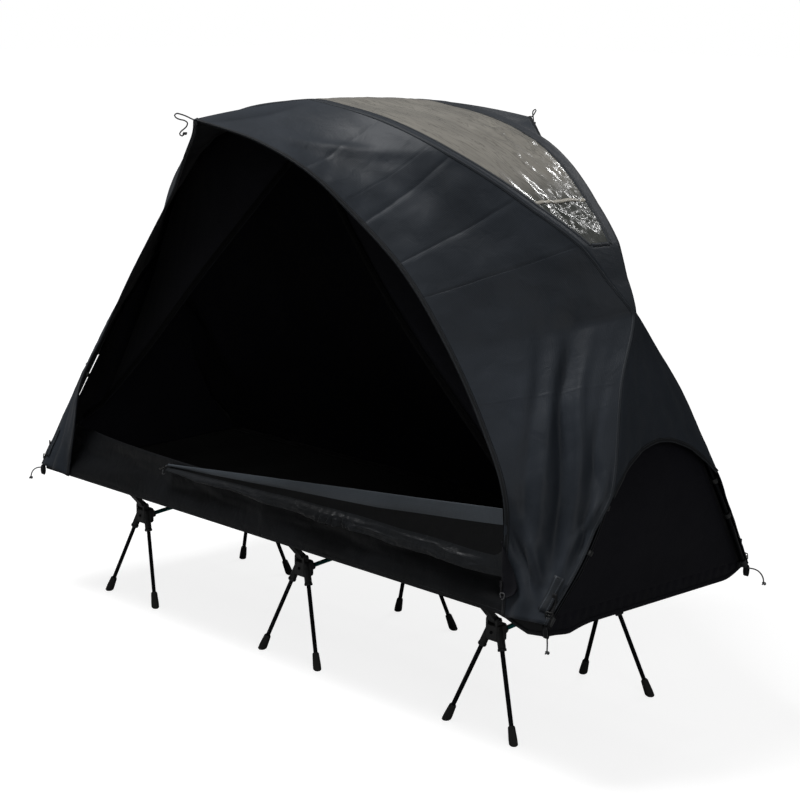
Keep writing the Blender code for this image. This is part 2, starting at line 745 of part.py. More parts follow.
def hem_line(rows):
    """The arched front hem, from the visor's tip to its foot beside the corner."""
    tip_z = ridge_pole_height(TIP_Y) + FLY_OUT
    points = np.array(HEM_SHARES) * (HEM_FOOT_X, -TIP_Y, tip_z - SKIRT_Z)
    points[:, 2] += SKIRT_Z
    points[-1, 1] = -FLY_SKIRT_Y
    return smooth_curve(points, rows)


def across_panel(first, last, columns):
    """Points on straight lines between two edges, row by row."""
    shares = np.linspace(0, 1, columns + 1)[None, :, None]
    return first[:, None] + (last - first)[:, None] * shares


def visor_grid(rows, columns, folds):
    """The fly's front panel from the ridge to the hem, with its sag and main folds."""
    edge = fly_edge(rows)
    hem = hem_line(rows)
    grid = across_panel(edge, hem, columns)
    share = np.linspace(0, 1, columns + 1)[None, :]
    along = np.gradient((edge + hem) / 2, axis=0)
    face = unit(np.cross(hem - edge, along))
    face *= -np.sign(face[:, 1:2])
    down = rows[:, None]
    belly = 4 * share * (1 - share) * (SKIRT_BULGE * down**2 - VISOR_SAG * (1 - down**2))
    wave = np.sin(math.pi * share) * np.sin(2 * math.pi * folds * share) * FOLD_DEPTH * down
    grid = grid + face[:, None] * (belly + wave)[..., None]
    grid[0] = across_panel(edge[:1], hem[:1], columns)[0]
    straight = grid[0].copy()
    raised = ridge_pole_height(straight[:, 1]) + FLY_OUT - straight[:, 2]
    grid[..., 2] += raised[None] * np.exp(-((edge[:, :1] / RIDGE_TENT_SPAN) ** 2))
    return grid


def roof_columns(rows):
    """Half widths across the roof at each row: the ridge and the window's border."""
    ridge = np.abs(fly_edge(rows)[:, 1])
    border = ridge - WINDOW_BORDER
    last = border[WINDOW_ROWS] / ridge[WINDOW_ROWS]
    return ridge, np.where(np.arange(len(rows)) <= WINDOW_ROWS, border, ridge * last)


def roof_point(edge, y):
    """A point of the roof beside a row's edge point, raised over the ridge pole."""
    raised = ridge_pole_height(y) - ridge_pole_height(edge[1])
    lift = raised * math.exp(-((edge[0] / RIDGE_TENT_SPAN) ** 2))
    return (edge[0], y, edge[2] + lift)


def add_grid(shape, grid):
    """Adds a panel of four-sided faces over a grid of points, leaving out empty ones."""
    grid = np.asarray(grid)
    verts = [[shape.verts.new(point) for point in row] for row in grid]
    for i in range(len(grid) - 1):
        for j in range(len(grid[0]) - 1):
            corners = [(i, j), (i, j + 1), (i + 1, j + 1), (i + 1, j)]
            kept = []
            for corner in corners:
                point = grid[corner]
                if all(np.linalg.norm(point - grid[other]) > MERGE_DISTANCE for other in kept):
                    kept.append(corner)
            if len(kept) > 2:
                shape.faces.new([verts[a][b] for a, b in kept])


def add_both_sides(shape, grid):
    """Adds a panel and its mirror image at the other end of the bed."""
    add_grid(shape, grid)
    add_grid(shape, np.asarray(grid) * (-1, 1, 1))


def cloth_object(name, shape, thickness, outside, material):
    """Sews the panels into one sheet and gives it thickness, outwards or inwards."""
    bmesh.ops.remove_doubles(shape, verts=shape.verts[:], dist=MERGE_DISTANCE)
    loose = [v for v in shape.verts if not v.link_faces]
    bmesh.ops.delete(shape, geom=loose, context="VERTS")
    for vert in shape.verts:
        vert.co = drawn(vert.co)
    bmesh.ops.recalc_face_normals(shape, faces=shape.faces[:])
    core = Vector((0, 0, RIDGE_HEIGHT * CORE_HEIGHT_SHARE))
    facing = sum(f.normal.dot(f.calc_center_median() - core) * f.calc_area() for f in shape.faces)
    if facing < 0:
        bmesh.ops.reverse_faces(shape, faces=shape.faces[:])
    item = add_object(name, mesh_of(name, shape), material)
    skin = item.modifiers.new("thickness", "SOLIDIFY")
    skin.thickness = thickness
    skin.offset = 1 if outside else -1
    return item


def build_fly(fly_finish, window_finish):
    """The fly sheet with its window hole and end arches, and the film in the window."""
    rows = cloth_rows()
    shape = bmesh.new()
    edge = fly_edge(rows)
    add_both_sides(shape, visor_grid(rows, VISOR_COLUMNS, folds=2))
    rear = visor_grid(rows, REAR_COLUMNS, folds=1) * (1, -1, 1)
    add_both_sides(shape, rear)
    hem = rear[:, -1]
    foot = hem * (1, 0, 0) + (0, FLY_SKIRT_Y, SKIRT_Z)
    add_both_sides(shape, across_panel(hem, foot, WALL_COLUMNS))
    ridge, border = roof_columns(rows)
    roof = ROOF_ROWS + 1
    for side in (-1, 1):
        strip = [
            [roof_point(edge[i], side * ridge[i]), roof_point(edge[i], side * border[i])]
            for i in range(roof)
        ]
        add_both_sides(shape, strip)
        tail = [
            [roof_point(edge[i], side * border[i]), roof_point(edge[i], 0)]
            for i in range(WINDOW_ROWS, roof)
        ]
        add_both_sides(shape, tail)
    add_both_sides(shape, end_panel(edge[ROOF_ROWS : ROOF_ROWS + END_ROWS + 1]))
    cloth_object("fly", shape, FLY_CLOTH, True, fly_finish)

    film = bmesh.new()
    inset = border[: WINDOW_ROWS + 1] - SEAT_GAP
    last = edge[WINDOW_ROWS] + (edge[WINDOW_ROWS - 1] - edge[WINDOW_ROWS]) * (
        2 * SEAT_GAP / np.linalg.norm(edge[WINDOW_ROWS - 1] - edge[WINDOW_ROWS])
    )
    lines = [*edge[:WINDOW_ROWS], last]
    pane = [
        [roof_point(line, y) for y in np.linspace(-half, half, WALL_COLUMNS + 2)]
        for line, half in zip(lines, inset)
    ]
    add_both_sides(film, pane)
    cloth_object("roof_window", film, WINDOW_FILM, True, window_finish)


def end_panel(edge):
    """The fly's end, from the poles' crossing down to its arched cut-out."""
    panel = []
    top = edge[0]
    foot = edge[-1]
    for row in edge:
        line = []
        for c in np.linspace(-1, 1, 2 * WALL_COLUMNS + 1):
            crown = (foot[2] + ARCH_RISE * (1 - c**2) - top[2]) / (foot[2] - top[2])
            drop = (row[2] - top[2]) * crown
            x = top[0] + (row[0] - top[0]) * crown
            line.append((x, c * abs(row[1]), top[2] + drop))
        panel.append(line)
    return panel


def inner_edge(rows):
    """The inner tent's outer face along the front ridge and corner, just inside the poles."""
    base = pole_line(rows)
    rise = (base[:, 2] - POLE_FOOT[2]) / RIDGE_RISE
    x = base[:, 0] - POLE_FOOT_OUT * np.clip(base[:, 0] / POLE_FOOT_OUT / 2, 0, 1)
    y = -np.abs(base[:, 1]) * WALL_Y / POLE_FOOT[1]
    z = np.maximum(base[:, 2] - INNER_DROP * np.clip(rise, 0, 1), SHOULDER_Z)
    return np.stack([x, y, z], axis=1)


def wall_foot(edge):
    """Where each row of the inner tent's front wall meets its bottom hem."""
    cross = edge[ROOF_ROWS, 0] * BOTTOM_LEAN_SHARE
    x = np.where(
        np.arange(len(edge)) <= ROOF_ROWS,
        edge[:, 0] * BOTTOM_LEAN_SHARE,
        cross + (WALL_X - cross) * np.abs(edge[:, 1]) / WALL_Y,
    )
    return np.stack([x, np.full(len(x), -WALL_Y), np.full(len(x), SKIRT_Z)], axis=1)


def door_height(x):
    """Height of the inner tent's door edge above a place along the bed."""
    foot = WALL_X - DOOR_FOOT_INSET
    peak = RIDGE_HEIGHT - DOOR_PEAK_DROP
    share = x / foot
    return peak + (SILL_Z - peak) * share - 4 * DOOR_BOW * share * (1 - share)


def door_share(foot, top, sill):
    """How far up a row the door edge lies, found by halving between the sill and the top."""
    low = sill
    high = 1.0
    start = foot + (top - foot) * sill
    if start[2] >= door_height(start[0]):
        return sill
    for _ in range(30):
        middle = (low + high) / 2
        point = foot + (top - foot) * middle
        if point[2] < door_height(point[0]):
            low = middle
        else:
            high = middle
    return low


def build_inner_tent(material):
    """The inner tent: sill, front wall round the door, roof, rear wall and end walls."""
    rows = cloth_rows()
    edge = inner_edge(rows)
    feet = wall_foot(edge)
    shoulders = feet.copy()
    shoulders[:, 2] = SHOULDER_Z
    rise = np.maximum(edge[:, 2] - SHOULDER_Z, MERGE_DISTANCE)
    sills = np.minimum((SILL_Z - SHOULDER_Z) / rise, 1)
    doors = np.array([door_share(f, t, s) for f, t, s in zip(shoulders, edge, sills)])
    shape = bmesh.new()
    sill_line = shoulders + (edge - shoulders) * sills[:, None]
    door_line = shoulders + (edge - shoulders) * doors[:, None]
    for side in (-1, 1):
        add_both_sides(shape, across_panel(feet, shoulders, 1) * (1, -side, 1))
    add_both_sides(shape, across_panel(shoulders, sill_line, 1))
    add_both_sides(shape, across_panel(door_line, edge, WALL_COLUMNS - 1))
    add_both_sides(shape, across_panel(shoulders, edge, WALL_COLUMNS) * (1, -1, 1))
    mirror = edge * (1, -1, 1)
    add_both_sides(shape, across_panel(edge, mirror, 2 * WALL_COLUMNS - 2))
    corner = np.array([edge[-1], (WALL_X, -WALL_Y, SKIRT_Z)])
    wall = across_panel(corner, corner * (1, -1, 1), 2 * WALL_COLUMNS - 2)
    wall[1, 1:-1, 2] = END_SKIRT_Z
    add_both_sides(shape, wall)
    cloth_object("inner_tent", shape, TENT_CLOTH, False, material)


def wall_slope(x):
    """How much the inner tent's front wall leans in per metre of height, above a place on the bed."""
    edge = inner_edge(cloth_rows())
    lean = (WALL_Y - np.abs(edge[:, 1])) / (edge[:, 2] - SHOULDER_Z + MERGE_DISTANCE)
    return np.interp(abs(x), wall_foot(edge)[:, 0], lean)


def build_let_down_door(material):
    """The front door let down along the sill: a taut top band over a gathered lower edge.

    Its right end lies flat, so that the zip slider runs over it.
    """
    hem = hem_line(cloth_rows()[::-1])
    lean = wall_slope(LET_DOWN_LEFT)
    rings = []
    for share in np.linspace(0, 1, LET_DOWN_STEPS + 1):
        top = LET_DOWN_LEFT_RISE + (LET_DOWN_RIGHT_RISE - LET_DOWN_LEFT_RISE) * share
        foot = LET_DOWN_FOOT_RISE + LET_DOWN_FOOT_TILT * (1 - share)
        height = top - foot
        band = min(LET_DOWN_BAND, height / 3)
        gather = min(LET_DOWN_GATHER_HEIGHT, height / 3)
        wave = GATHER_WAVE * math.sin(5 * math.pi * share)
        fat = LET_DOWN_GATHER + wave
        tuck = min((1 - share) * LET_DOWN_STEPS / 2, 1)
        outline = [
            (0, top),
            (LET_DOWN_CLOTH, top),
            (LET_DOWN_CLOTH, top - band),
            (LET_DOWN_CLOTH / 2, top - band - gather / 4),
            (LET_DOWN_CLOTH / 2 - wave / 2, foot + gather + wave),
            (fat, foot + gather / 2 + wave),
            (fat * 2 / 3, foot),
            (0, foot + gather / 4),
        ]
        ring = []
        for out, up in outline:
            z = RAIL_HEIGHT + up
            left_y = -WALL_Y + (z - SHOULDER_Z) * lean - LET_DOWN_GAP
            right_x = np.interp(z, hem[:, 2], hem[:, 0]) - 2 * SEAT_GAP
            right_y = np.interp(z, hem[:, 2], hem[:, 1])
            x = -LET_DOWN_LEFT + (right_x + LET_DOWN_LEFT) * share
            proud = out * tuck + min(out, FLY_CLOTH / 2) * (1 - tuck)
            ring.append((x, left_y + (right_y - left_y) * share - proud, z))
        rings.append(ring)
    add_object("front_door_let_down", mesh_of("front_door_let_down", loft(rings)), material)


def build_zip_sliders(material):
    """A zip slider with its pull, low on the hem of the front and rear door openings."""
    line = hem_line(np.linspace(1, knot_share(ARCH_KNOT), LET_DOWN_STEPS + 1))
    places = chord_shares(line) * np.linalg.norm(np.diff(line, axis=0), axis=1).sum()
    start, high = (
        Vector([np.interp(place, places, values) for values in line.T])
        for place in (SLIDER_START, SLIDER_START + SLIDER_RUN)
    )
    climb = (high - start).normalized()
    for name, x_side, y_side in (("zip_slider_front", 1, 1), ("zip_slider_rear", 1, -1)):
        out = FLY_CLOTH + SEAT_GAP
        body = box(
            (-SLIDER_WIDTH / 2, -out - SLIDER_DEPTH, -SLIDER_LENGTH / 2),
            (SLIDER_WIDTH / 2, -out, SLIDER_LENGTH / 2),
            PULL_DEPTH / 4,
        )
        pull = box(
            (-PULL_WIDTH / 2, -out - SLIDER_DEPTH, -PULL_LENGTH),
            (PULL_WIDTH / 2, -out - SLIDER_DEPTH + PULL_DEPTH, 0),
            PULL_DEPTH / 4,
        )
        mesh = carve(name, body, joins=[pull])
        mesh.transform(Vector((0, 0, 1)).rotation_difference(climb).to_matrix().to_4x4())
        turn = 0 if y_side > 0 else math.pi
        place = Vector((start.x * x_side * y_side, start.y * y_side, start.z))
        add_object(name, mesh, material, place, turn)


def build_cords(tip_finish, corner_finish):
    """Cord loops at the visor tips and thin elastic cords at three corners."""
    routes = (
        ("tip_cord_front", FRONT_TIP_ROUTE, TIP_CORD_RADIUS, tip_finish),
        ("tip_cord_rear", REAR_TIP_ROUTE, TIP_CORD_RADIUS, tip_finish),
        ("corner_cord_right_front", NEAR_CORD_ROUTE, CORNER_CORD_RADIUS, corner_finish),
        ("corner_cord_left_front", FAR_LEFT_CORD_ROUTE, CORNER_CORD_RADIUS, corner_finish),
        ("corner_cord_right_rear", FAR_RIGHT_CORD_ROUTE, CORNER_CORD_RADIUS, corner_finish),
    )
    for name, route, radius, material in routes:
        count = CORD_STEPS * (len(route) - 1)
        points = smooth_curve(route, np.linspace(0, 1, count + 1))
        tube_curve(name, points, radius, material)


def main():
    for old in list(bpy.data.objects):
        bpy.data.objects.remove(old)
    black_nylon = finish("black_moulded_nylon", (0.012, 0.012, 0.013), 0.45, 0)
    anodised = finish("teal_anodised_aluminium", (0.013, 0.162, 0.155), 0.32, 1)
    dark_tube = finish("black_anodised_tube", (0.030, 0.031, 0.034), 0.38, 1)
    rubber = finish("black_rubber", (0.010, 0.010, 0.010), 0.8, 0)
    grey_tube = finish("grey_anodised_tube", (0.100, 0.105, 0.110), 0.35, 1)
    bed_cloth = finish("black_bed_cloth", (0.008, 0.008, 0.009), 0.85, 0)
    fly_cloth = finish("charcoal_coated_polyester", (0.030, 0.034, 0.040), 0.6, 0)
    inner_cloth = finish("black_mesh_and_nylon", (0.010, 0.010, 0.014), 0.8, 0)
    film = finish("clear_roof_film", (0.300, 0.290, 0.270), 0.12, 0)
    cord = finish("braided_cord", (0.050, 0.050, 0.048), 0.8, 0)
    elastic = finish("elastic_cord", (0.300, 0.300, 0.300), 0.7, 0)
    steel = finish("nickel_plated_zinc", (0.550, 0.550, 0.560), 0.3, 1)
    build_bed(bed_cloth, dark_tube)
    build_leg_units(black_nylon, anodised, dark_tube, rubber)
    build_poles(grey_tube)
    build_corner_cups(black_nylon)
    build_fly(fly_cloth, film)
    build_inner_tent(inner_cloth)
    build_let_down_door(fly_cloth)
    build_zip_sliders(steel)
    build_cords(cord, elastic)


main()
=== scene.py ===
# %% [markdown]
# # Tent cot
# A camp bed on three clip-on leg units, with a pole-hung tent over it. The hard parts come
# ready-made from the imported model, in metres, with the feet on the floor and the door facing -Y.
# This lesson gives them real finishes and sews the cloth, film, tapes and cords over them.

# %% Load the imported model
import math

import bmesh
import bpy
import numpy as np
from mathutils import Matrix, Vector, noise


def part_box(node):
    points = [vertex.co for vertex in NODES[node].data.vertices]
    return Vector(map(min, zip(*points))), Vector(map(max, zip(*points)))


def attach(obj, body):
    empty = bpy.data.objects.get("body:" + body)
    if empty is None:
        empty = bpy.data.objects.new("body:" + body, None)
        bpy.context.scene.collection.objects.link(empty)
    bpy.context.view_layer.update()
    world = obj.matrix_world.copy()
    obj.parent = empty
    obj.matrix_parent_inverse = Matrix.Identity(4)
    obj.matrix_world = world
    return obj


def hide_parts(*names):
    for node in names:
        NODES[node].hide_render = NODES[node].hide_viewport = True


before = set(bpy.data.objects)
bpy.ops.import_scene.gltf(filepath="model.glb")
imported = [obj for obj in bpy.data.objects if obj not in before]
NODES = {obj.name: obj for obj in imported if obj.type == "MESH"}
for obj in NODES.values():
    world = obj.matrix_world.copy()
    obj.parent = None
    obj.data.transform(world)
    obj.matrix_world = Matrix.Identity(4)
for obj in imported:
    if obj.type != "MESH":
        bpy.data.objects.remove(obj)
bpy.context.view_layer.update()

MM = 0.001
SAME = np.array((1, 1, 1))
MIRROR_X = np.array((-1, 1, 1))
MIRROR_Y = np.array((1, -1, 1))
SIDES = (-1, 1)

# %% [markdown]
# ## Camera
# The photograph was taken from the front right, a little above the bed. The lens and place were
# fitted to the cot's own corners, so that the model falls on the same spots of the picture.
# A plain perspective camera with no shift does this.

# %% Camera
CAMERA_AZIMUTH = math.radians(46.24)
CAMERA_ELEVATION = math.radians(11.77)
CAMERA_ROLL = math.radians(0.84)
CAMERA_DISTANCE = 5.135
CAMERA_TARGET = Vector((0.053, 0.070, 0.651))
LENS_MM, SENSOR_MM = 89.28, 36

backward = Vector((
    math.sin(CAMERA_AZIMUTH) * math.cos(CAMERA_ELEVATION),
    -math.cos(CAMERA_AZIMUTH) * math.cos(CAMERA_ELEVATION),
    math.sin(CAMERA_ELEVATION),
))
level = backward.cross(Vector((0, 0, 1))).normalized() * -1
upright = backward.cross(level)
rightward = level * math.cos(CAMERA_ROLL) + upright * math.sin(CAMERA_ROLL)
upward = upright * math.cos(CAMERA_ROLL) - level * math.sin(CAMERA_ROLL)
place = Matrix((rightward, upward, backward)).transposed().to_4x4()
place.translation = CAMERA_TARGET + backward * CAMERA_DISTANCE
camera = bpy.data.objects.new("camera", bpy.data.cameras.new("camera"))
camera.data.lens = LENS_MM
camera.data.sensor_width = SENSOR_MM
camera.matrix_world = place
bpy.context.scene.collection.objects.link(camera)
bpy.context.scene.camera = camera
print("camera at", [round(v, 3) for v in place.translation])

# %% [markdown]
# ## Colours and nodes
# Paint and dye are matched in sRGB, the way a screen shows them, while Blender's sockets
# take linear light. One function turns one into the other. The last seven each add one node and
# give back its output, so that a finish below reads as a short list of steps.

# %% Colour and node helpers
WAVE_PERIOD = math.pi / 10


def linear(colour):
    """The linear colour, with alpha, of an sRGB hex value."""
    channels = [int(colour[i : i + 2], 16) / 255 for i in (1, 3, 5)]
    return (*[c / 12.92 if c <= 0.04045 else ((c + 0.055) / 1.055) ** 2.4 for c in channels], 1)


def new_finish(name, sockets):
    """A Principled finish with fixed values on the shader's own sockets, and its node tree."""
    finish = bpy.data.materials.new(name)
    finish.use_nodes = True
    tree = finish.node_tree
    for socket, value in sockets.items():
        tree.nodes["Principled BSDF"].inputs[socket].default_value = value
    return finish, tree


def feed(tree, colour, roughness, normal):
    """Links what is given to the shader of a finish."""
    inputs = tree.nodes["Principled BSDF"].inputs
    for socket, source in (("Base Color", colour), ("Roughness", roughness), ("Normal", normal)):
        if source:
            tree.links.new(source, inputs[socket])


def add(tree, kind, sockets=(), output=0, **properties):
    """Adds a node. Each socket gets a value or a link from another node's output."""
    made = tree.nodes.new("ShaderNode" + kind)
    for key, value in properties.items():
        setattr(made, key, value)
    for key, value in dict(sockets).items():
        if isinstance(value, bpy.types.NodeSocket):
            tree.links.new(value, made.inputs[key])
        else:
            made.inputs[key].default_value = value
    return made.outputs[output]


def maths(tree, operation, *terms):
    """One sum or comparison of numbers and outputs."""
    return add(tree, "Math", enumerate(terms), operation=operation)


def noisy(tree, place, scale, detail, distortion=0.0):
    """Cloudy noise from 0 to 1."""
    sockets = {"Vector": place, "Scale": scale, "Detail": detail, "Distortion": distortion}
    return add(tree, "TexNoise", sockets)


def striped(tree, place, pitch_mm, way="X"):
    """Even stripes from 0 to 1, a pitch apart."""
    sockets = {"Vector": place, "Scale": WAVE_PERIOD / (pitch_mm * MM)}
    return add(tree, "TexWave", sockets, 1, bands_direction=way)


def between(tree, value, low, high, start=0.0, end=1.0):
    """Turns a value that runs from start to end into one from low to high."""
    sockets = {"Value": value, "From Min": start, "From Max": end, "To Min": low, "To Max": high}
    return add(tree, "MapRange", sockets)


def mixed(tree, share, low, high, blend="MIX"):
    """Mixes two colours, each a hex value, a linear colour or an output."""
    first, second = (linear(c) if isinstance(c, str) else c for c in (low, high))
    return add(tree, "Mix", {0: share, 6: first, 7: second}, 2, data_type="RGBA", blend_type=blend)


def bumped(tree, height, depth_mm, strength=1.0, under=None):
    """A bumpy normal, over another one if that is given."""
    sockets = {"Height": height, "Distance": depth_mm * MM, "Strength": strength}
    return add(tree, "Bump", {**sockets, "Normal": under} if under else sockets)


print("middle grey, #808080, is", round(linear("#808080")[0], 3), "in linear light")

# %% [markdown]
# ## Woven cloth
# The fly is polyester taffeta: fine flat yarns in a plain weave, coated on the inside. To the eye
# it is a smooth, slightly soft charcoal with a dull sheen and a faint pebble. The inner tent and
# bed use plainer, blacker weaves. Yarns of 0.2 mm are far too fine for a picture of the whole
# cot, so the weave is drawn about twenty times coarser. The pattern follows the cloth's own UV
# map, which is laid out in metres, so that the threads turn with each panel.

# %% Woven cloth finishes
def woven(name, dark, light, pitch_mm, yarn_mm, pucker_mm, roughness, sheen, gloss):
    """A plain weave of two dyed shades over a softly puckered ground."""
    sockets = {"IOR": 1.5, "Sheen Weight": sheen, "Sheen Roughness": 0.5, "Specular IOR Level": gloss}
    finish, tree = new_finish(name, sockets)
    place = add(tree, "TexCoord", output="Object")
    threads = place.node.outputs["UV"]
    clouds = noisy(tree, place, 4.5, 5.0)
    crossing = maths(tree, "MULTIPLY", *[striped(tree, threads, pitch_mm, way) for way in "XY"])
    dyed = mixed(tree, between(tree, clouds, -0.5, 1.5), dark, light)
    shaded = mixed(tree, between(tree, crossing, 0.5, 0.0), dyed, (0.62, 0.62, 0.64, 1), "MULTIPLY")
    soft = bumped(tree, noisy(tree, place, 22.0, 3.0, 0.6), pucker_mm)
    rough = between(tree, clouds, roughness - 0.08, roughness + 0.08)
    feed(tree, shaded, rough, bumped(tree, crossing, yarn_mm, 0.6, soft))
    return finish


coated_taffeta = woven("coated_polyester_taffeta", "#262b31", "#333941", 4.0, 0.25, 1.8, 0.5, 0.04, 0.2)
blackout_coating = woven("blackout_coated_side", "#090a0b", "#101113", 4.0, 0.15, 1.5, 0.62, 0.02, 0.15)
inner_taffeta = woven("breathable_black_taffeta", "#131318", "#1c1c22", 3.2, 0.2, 1.6, 0.72, 0.02, 0.1)
sill_taffeta = woven("sill_taffeta", "#0f1012", "#191b1e", 4.0, 0.25, 3.0, 0.46, 0.02, 0.15)
# A lighter copy of the door's cloth: painted highlight on the turned-over band that faces the light.
painted_highlight_taffeta = woven("door_band_painted_highlight", "#3a4046", "#4d545b", 4.0, 0.2, 1.6, 0.44, 0.08, 0.3)
gathered_taffeta = woven("gathered_taffeta", "#131517", "#202327", 4.0, 0.25, 4.0, 0.42, 0.03, 0.25)
bed_oxford = woven("bed_oxford_weave", "#070708", "#0d0e10", 5.0, 0.5, 0.8, 0.78, 0.03, 0.12)
print("cloth finishes made")

# %% [markdown]
# ## Sewn tape, webbing and zip
# Every edge of the tent is bound with grosgrain tape, a narrow ribbed ribbon, held by two lines
# of lock stitches. Webbing is the same thing woven thicker. The zip's coil is a line of small
# nylon teeth on a tape. All three are ribbons here, so their patterns run along the ribbon's U
# in metres, and across it from 0 to 1 in V.

# %% Tape finishes
def taped(name, ground, thread, rib_mm, stitch_mm, roughness, lines=(0.22, 0.78), width=0.05, gloss=0.2):
    """A ribbed ribbon with one or two dashed lines of stitching along it."""
    sockets = {"IOR": 1.5, "Sheen Weight": gloss / 8, "Specular IOR Level": gloss, "Roughness": roughness}
    finish, tree = new_finish(name, sockets)
    ribbon = add(tree, "TexCoord", output="UV")
    along = add(tree, "SeparateXYZ", {0: ribbon})
    dash = maths(tree, "FRACT", maths(tree, "DIVIDE", along, stitch_mm * MM))
    near = [maths(tree, "COMPARE", along.node.outputs[1], line, width) for line in lines]
    on_line = maths(tree, "MAXIMUM", near[0], near[-1])
    stitch = maths(tree, "MULTIPLY", maths(tree, "LESS_THAN", dash, 0.7), on_line)
    raised = bumped(tree, stitch, 0.4)
    ribbed = bumped(tree, striped(tree, ribbon, rib_mm), 0.3, 0.5, raised)
    feed(tree, mixed(tree, stitch, ground, thread), None, ribbed)
    return finish


binding_tape = taped("grosgrain_binding_tape", "#17191c", "#3a3f45", 1.6, 4.0, 0.62)
seam_tape = taped("felled_seam", "#25292e", "#484e55", 3.2, 4.0, 0.58)
black_tape = taped("black_facing_tape", "#060607", "#0e0e10", 1.6, 4.0, 0.8, gloss=0.06)
webbing = taped("polyester_webbing", "#141517", "#2c2e31", 2.0, 5.0, 0.6)
zip_coil = taped("nylon_coil_zip", "#0e0f10", "#55585c", 2.6, 2.6, 0.45, (0.5,), 0.14)
print("tape finishes made")

# %% [markdown]
# ## Hard finishes
# The tubes are drawn aluminium, anodised: a thin dyed oxide that keeps the metal's gleam but
# dulls it, with faint lines along the draw. The hubs, levers and cups are glass-filled nylon,
# moulded against a spark-eroded tool, which leaves a fine matt grain and paler, rubbed edges.
# The feet are natural rubber with a dusty bloom. The zip sliders are nickel-plated zinc. Noise in
# each part's own space gives the wear and grain, because it needs no unwrapping.

# %% Hard finishes
def anodised(name, colour, worn, roughness):
    """Dyed oxide over drawn aluminium: even colour, faint draw lines, pale rubbed spots."""
    finish, tree = new_finish(name, {"Metallic": 1.0})
    place = add(tree, "TexCoord", output="Object")
    lines = noisy(tree, add(tree, "Mapping", {"Vector": place, "Scale": (900.0, 900.0, 30.0)}), 1.0, 2.0)
    rubs = noisy(tree, place, 38.0, 6.0)
    tone = mixed(tree, between(tree, rubs, 0.0, 1.0, 0.62, 0.8), colour, worn)
    rough = between(tree, rubs, roughness - 0.1, roughness + 0.12)
    feed(tree, tone, rough, bumped(tree, lines, 0.05, 0.5))
    return finish


def moulded(name, colour, rubbed, grain_mm, depth_mm, roughness, ior):
    """A moulded plastic or rubber with a fine grain, paler where its edges are rubbed."""
    finish, tree = new_finish(name, {"IOR": ior})
    place = add(tree, "TexCoord", output="Object")
    grain = noisy(tree, place, 1 / (grain_mm * MM), 2.0)
    dust = noisy(tree, place, 45.0, 5.0)
    edges = between(tree, add(tree, "NewGeometry", output="Pointiness"), 0.0, 1.0, 0.52, 0.62)
    tone = mixed(tree, maths(tree, "MULTIPLY", edges, dust), colour, rubbed)
    rough = between(tree, dust, roughness - 0.1, roughness + 0.1)
    feed(tree, tone, rough, bumped(tree, grain, depth_mm))
    return finish


teal_tube = anodised("teal_anodised_aluminium", "#2c8f8c", "#6fb5b2", 0.34)
black_tube = anodised("black_anodised_aluminium", "#1b1c1e", "#3c3d40", 0.42)
grey_tube = anodised("grey_anodised_aluminium", "#5f6163", "#8a8c8e", 0.34)
nickel = anodised("black_nickel_plated_zinc", "#3c3c3e", "#6c6c6d", 0.3)
moulded_nylon = moulded("glass_filled_nylon", "#0e0f10", "#303234", 0.9, 0.12, 0.56, 1.53)
acetal = moulded("acetal_buckle", "#0c0d0d", "#27292a", 1.4, 0.05, 0.42, 1.48)
foot_rubber = moulded("natural_rubber", "#0f0f0f", "#2f2e2c", 1.2, 0.15, 0.78, 1.52)
print("hard finishes made")

# %% [markdown]
# ## Cord
# The tips of the ridge pole carry short tying loops of braided cord, and thin elastic cord with
# a knotted end hangs at three corners. Both are braided sleeves, so their surface is a small
# herringbone of crossing strands: two slanting waves, one the mirror of the other.

# %% Cord finishes
def braided(name, colour, light, strand_mm, roughness):
    """A braided sleeve of crossing strands."""
    finish, tree = new_finish(name, {"IOR": 1.5, "Sheen Weight": 0.3, "Roughness": roughness})
    place = add(tree, "TexCoord", output="Object")
    slants = [
        add(tree, "Mapping", {"Vector": place, "Rotation": (tilt, tilt, 0)})
        for tilt in (math.radians(35), math.radians(-35))
    ]
    weave = maths(tree, "MAXIMUM", *[striped(tree, slant, strand_mm, "Z") for slant in slants])
    feed(tree, mixed(tree, weave, colour, light), None, bumped(tree, weave, 0.2))
    return finish


tip_braid = braided("braided_tying_cord", "#1c1d1e", "#45474a", 1.0, 0.7)
elastic_braid = braided("elastic_shock_cord", "#202123", "#55575a", 0.9, 0.65)
print("cord finishes made")

# %% [markdown]
# ## Free cords
# Each cord follows the route that its solid has, as one smooth curve through a few chosen
# points, and ends in a small overhand knot. A curve with a round bevel is the natural tool: its
# length stays exact and its thickness is one number.

# %% Places along a curve
def distances(points):
    """How far along the first axis each point lies, in metres."""
    steps = np.linalg.norm(np.diff(points, axis=0), axis=-1)
    return np.concatenate([0 * steps[:1], np.cumsum(steps, axis=0)])


def chord_shares(points):
    """How far along its chords each point lies, from 0 to 1."""
    steps = np.linalg.norm(np.diff(points, axis=0), axis=1)
    return np.concatenate([[0], np.cumsum(steps)]) / steps.sum()


def smooth_curve(points, shares):
    """Places on a smooth curve through the points, at shares of its chord length."""
    points = np.array(points, float)
    shares = np.asarray(shares, float)
    knots = chord_shares(points)
    slopes = np.gradient(points, knots, axis=0)
    i = np.clip(np.searchsorted(knots, shares, side="right") - 1, 0, len(knots) - 2)
    width = (knots[i + 1] - knots[i])[:, None]
    s = (shares - knots[i])[:, None] / width
    return (
        (2 * s**3 - 3 * s**2 + 1) * points[i]
        + (s**3 - 2 * s**2 + s) * width * slopes[i]
        + (3 * s**2 - 2 * s**3) * points[i + 1]
        + (s**3 - s**2) * width * slopes[i + 1]
    )


print("halfway round a corner:", smooth_curve([(0, 0), (1, 0), (1, 1)], [0.5])[0])

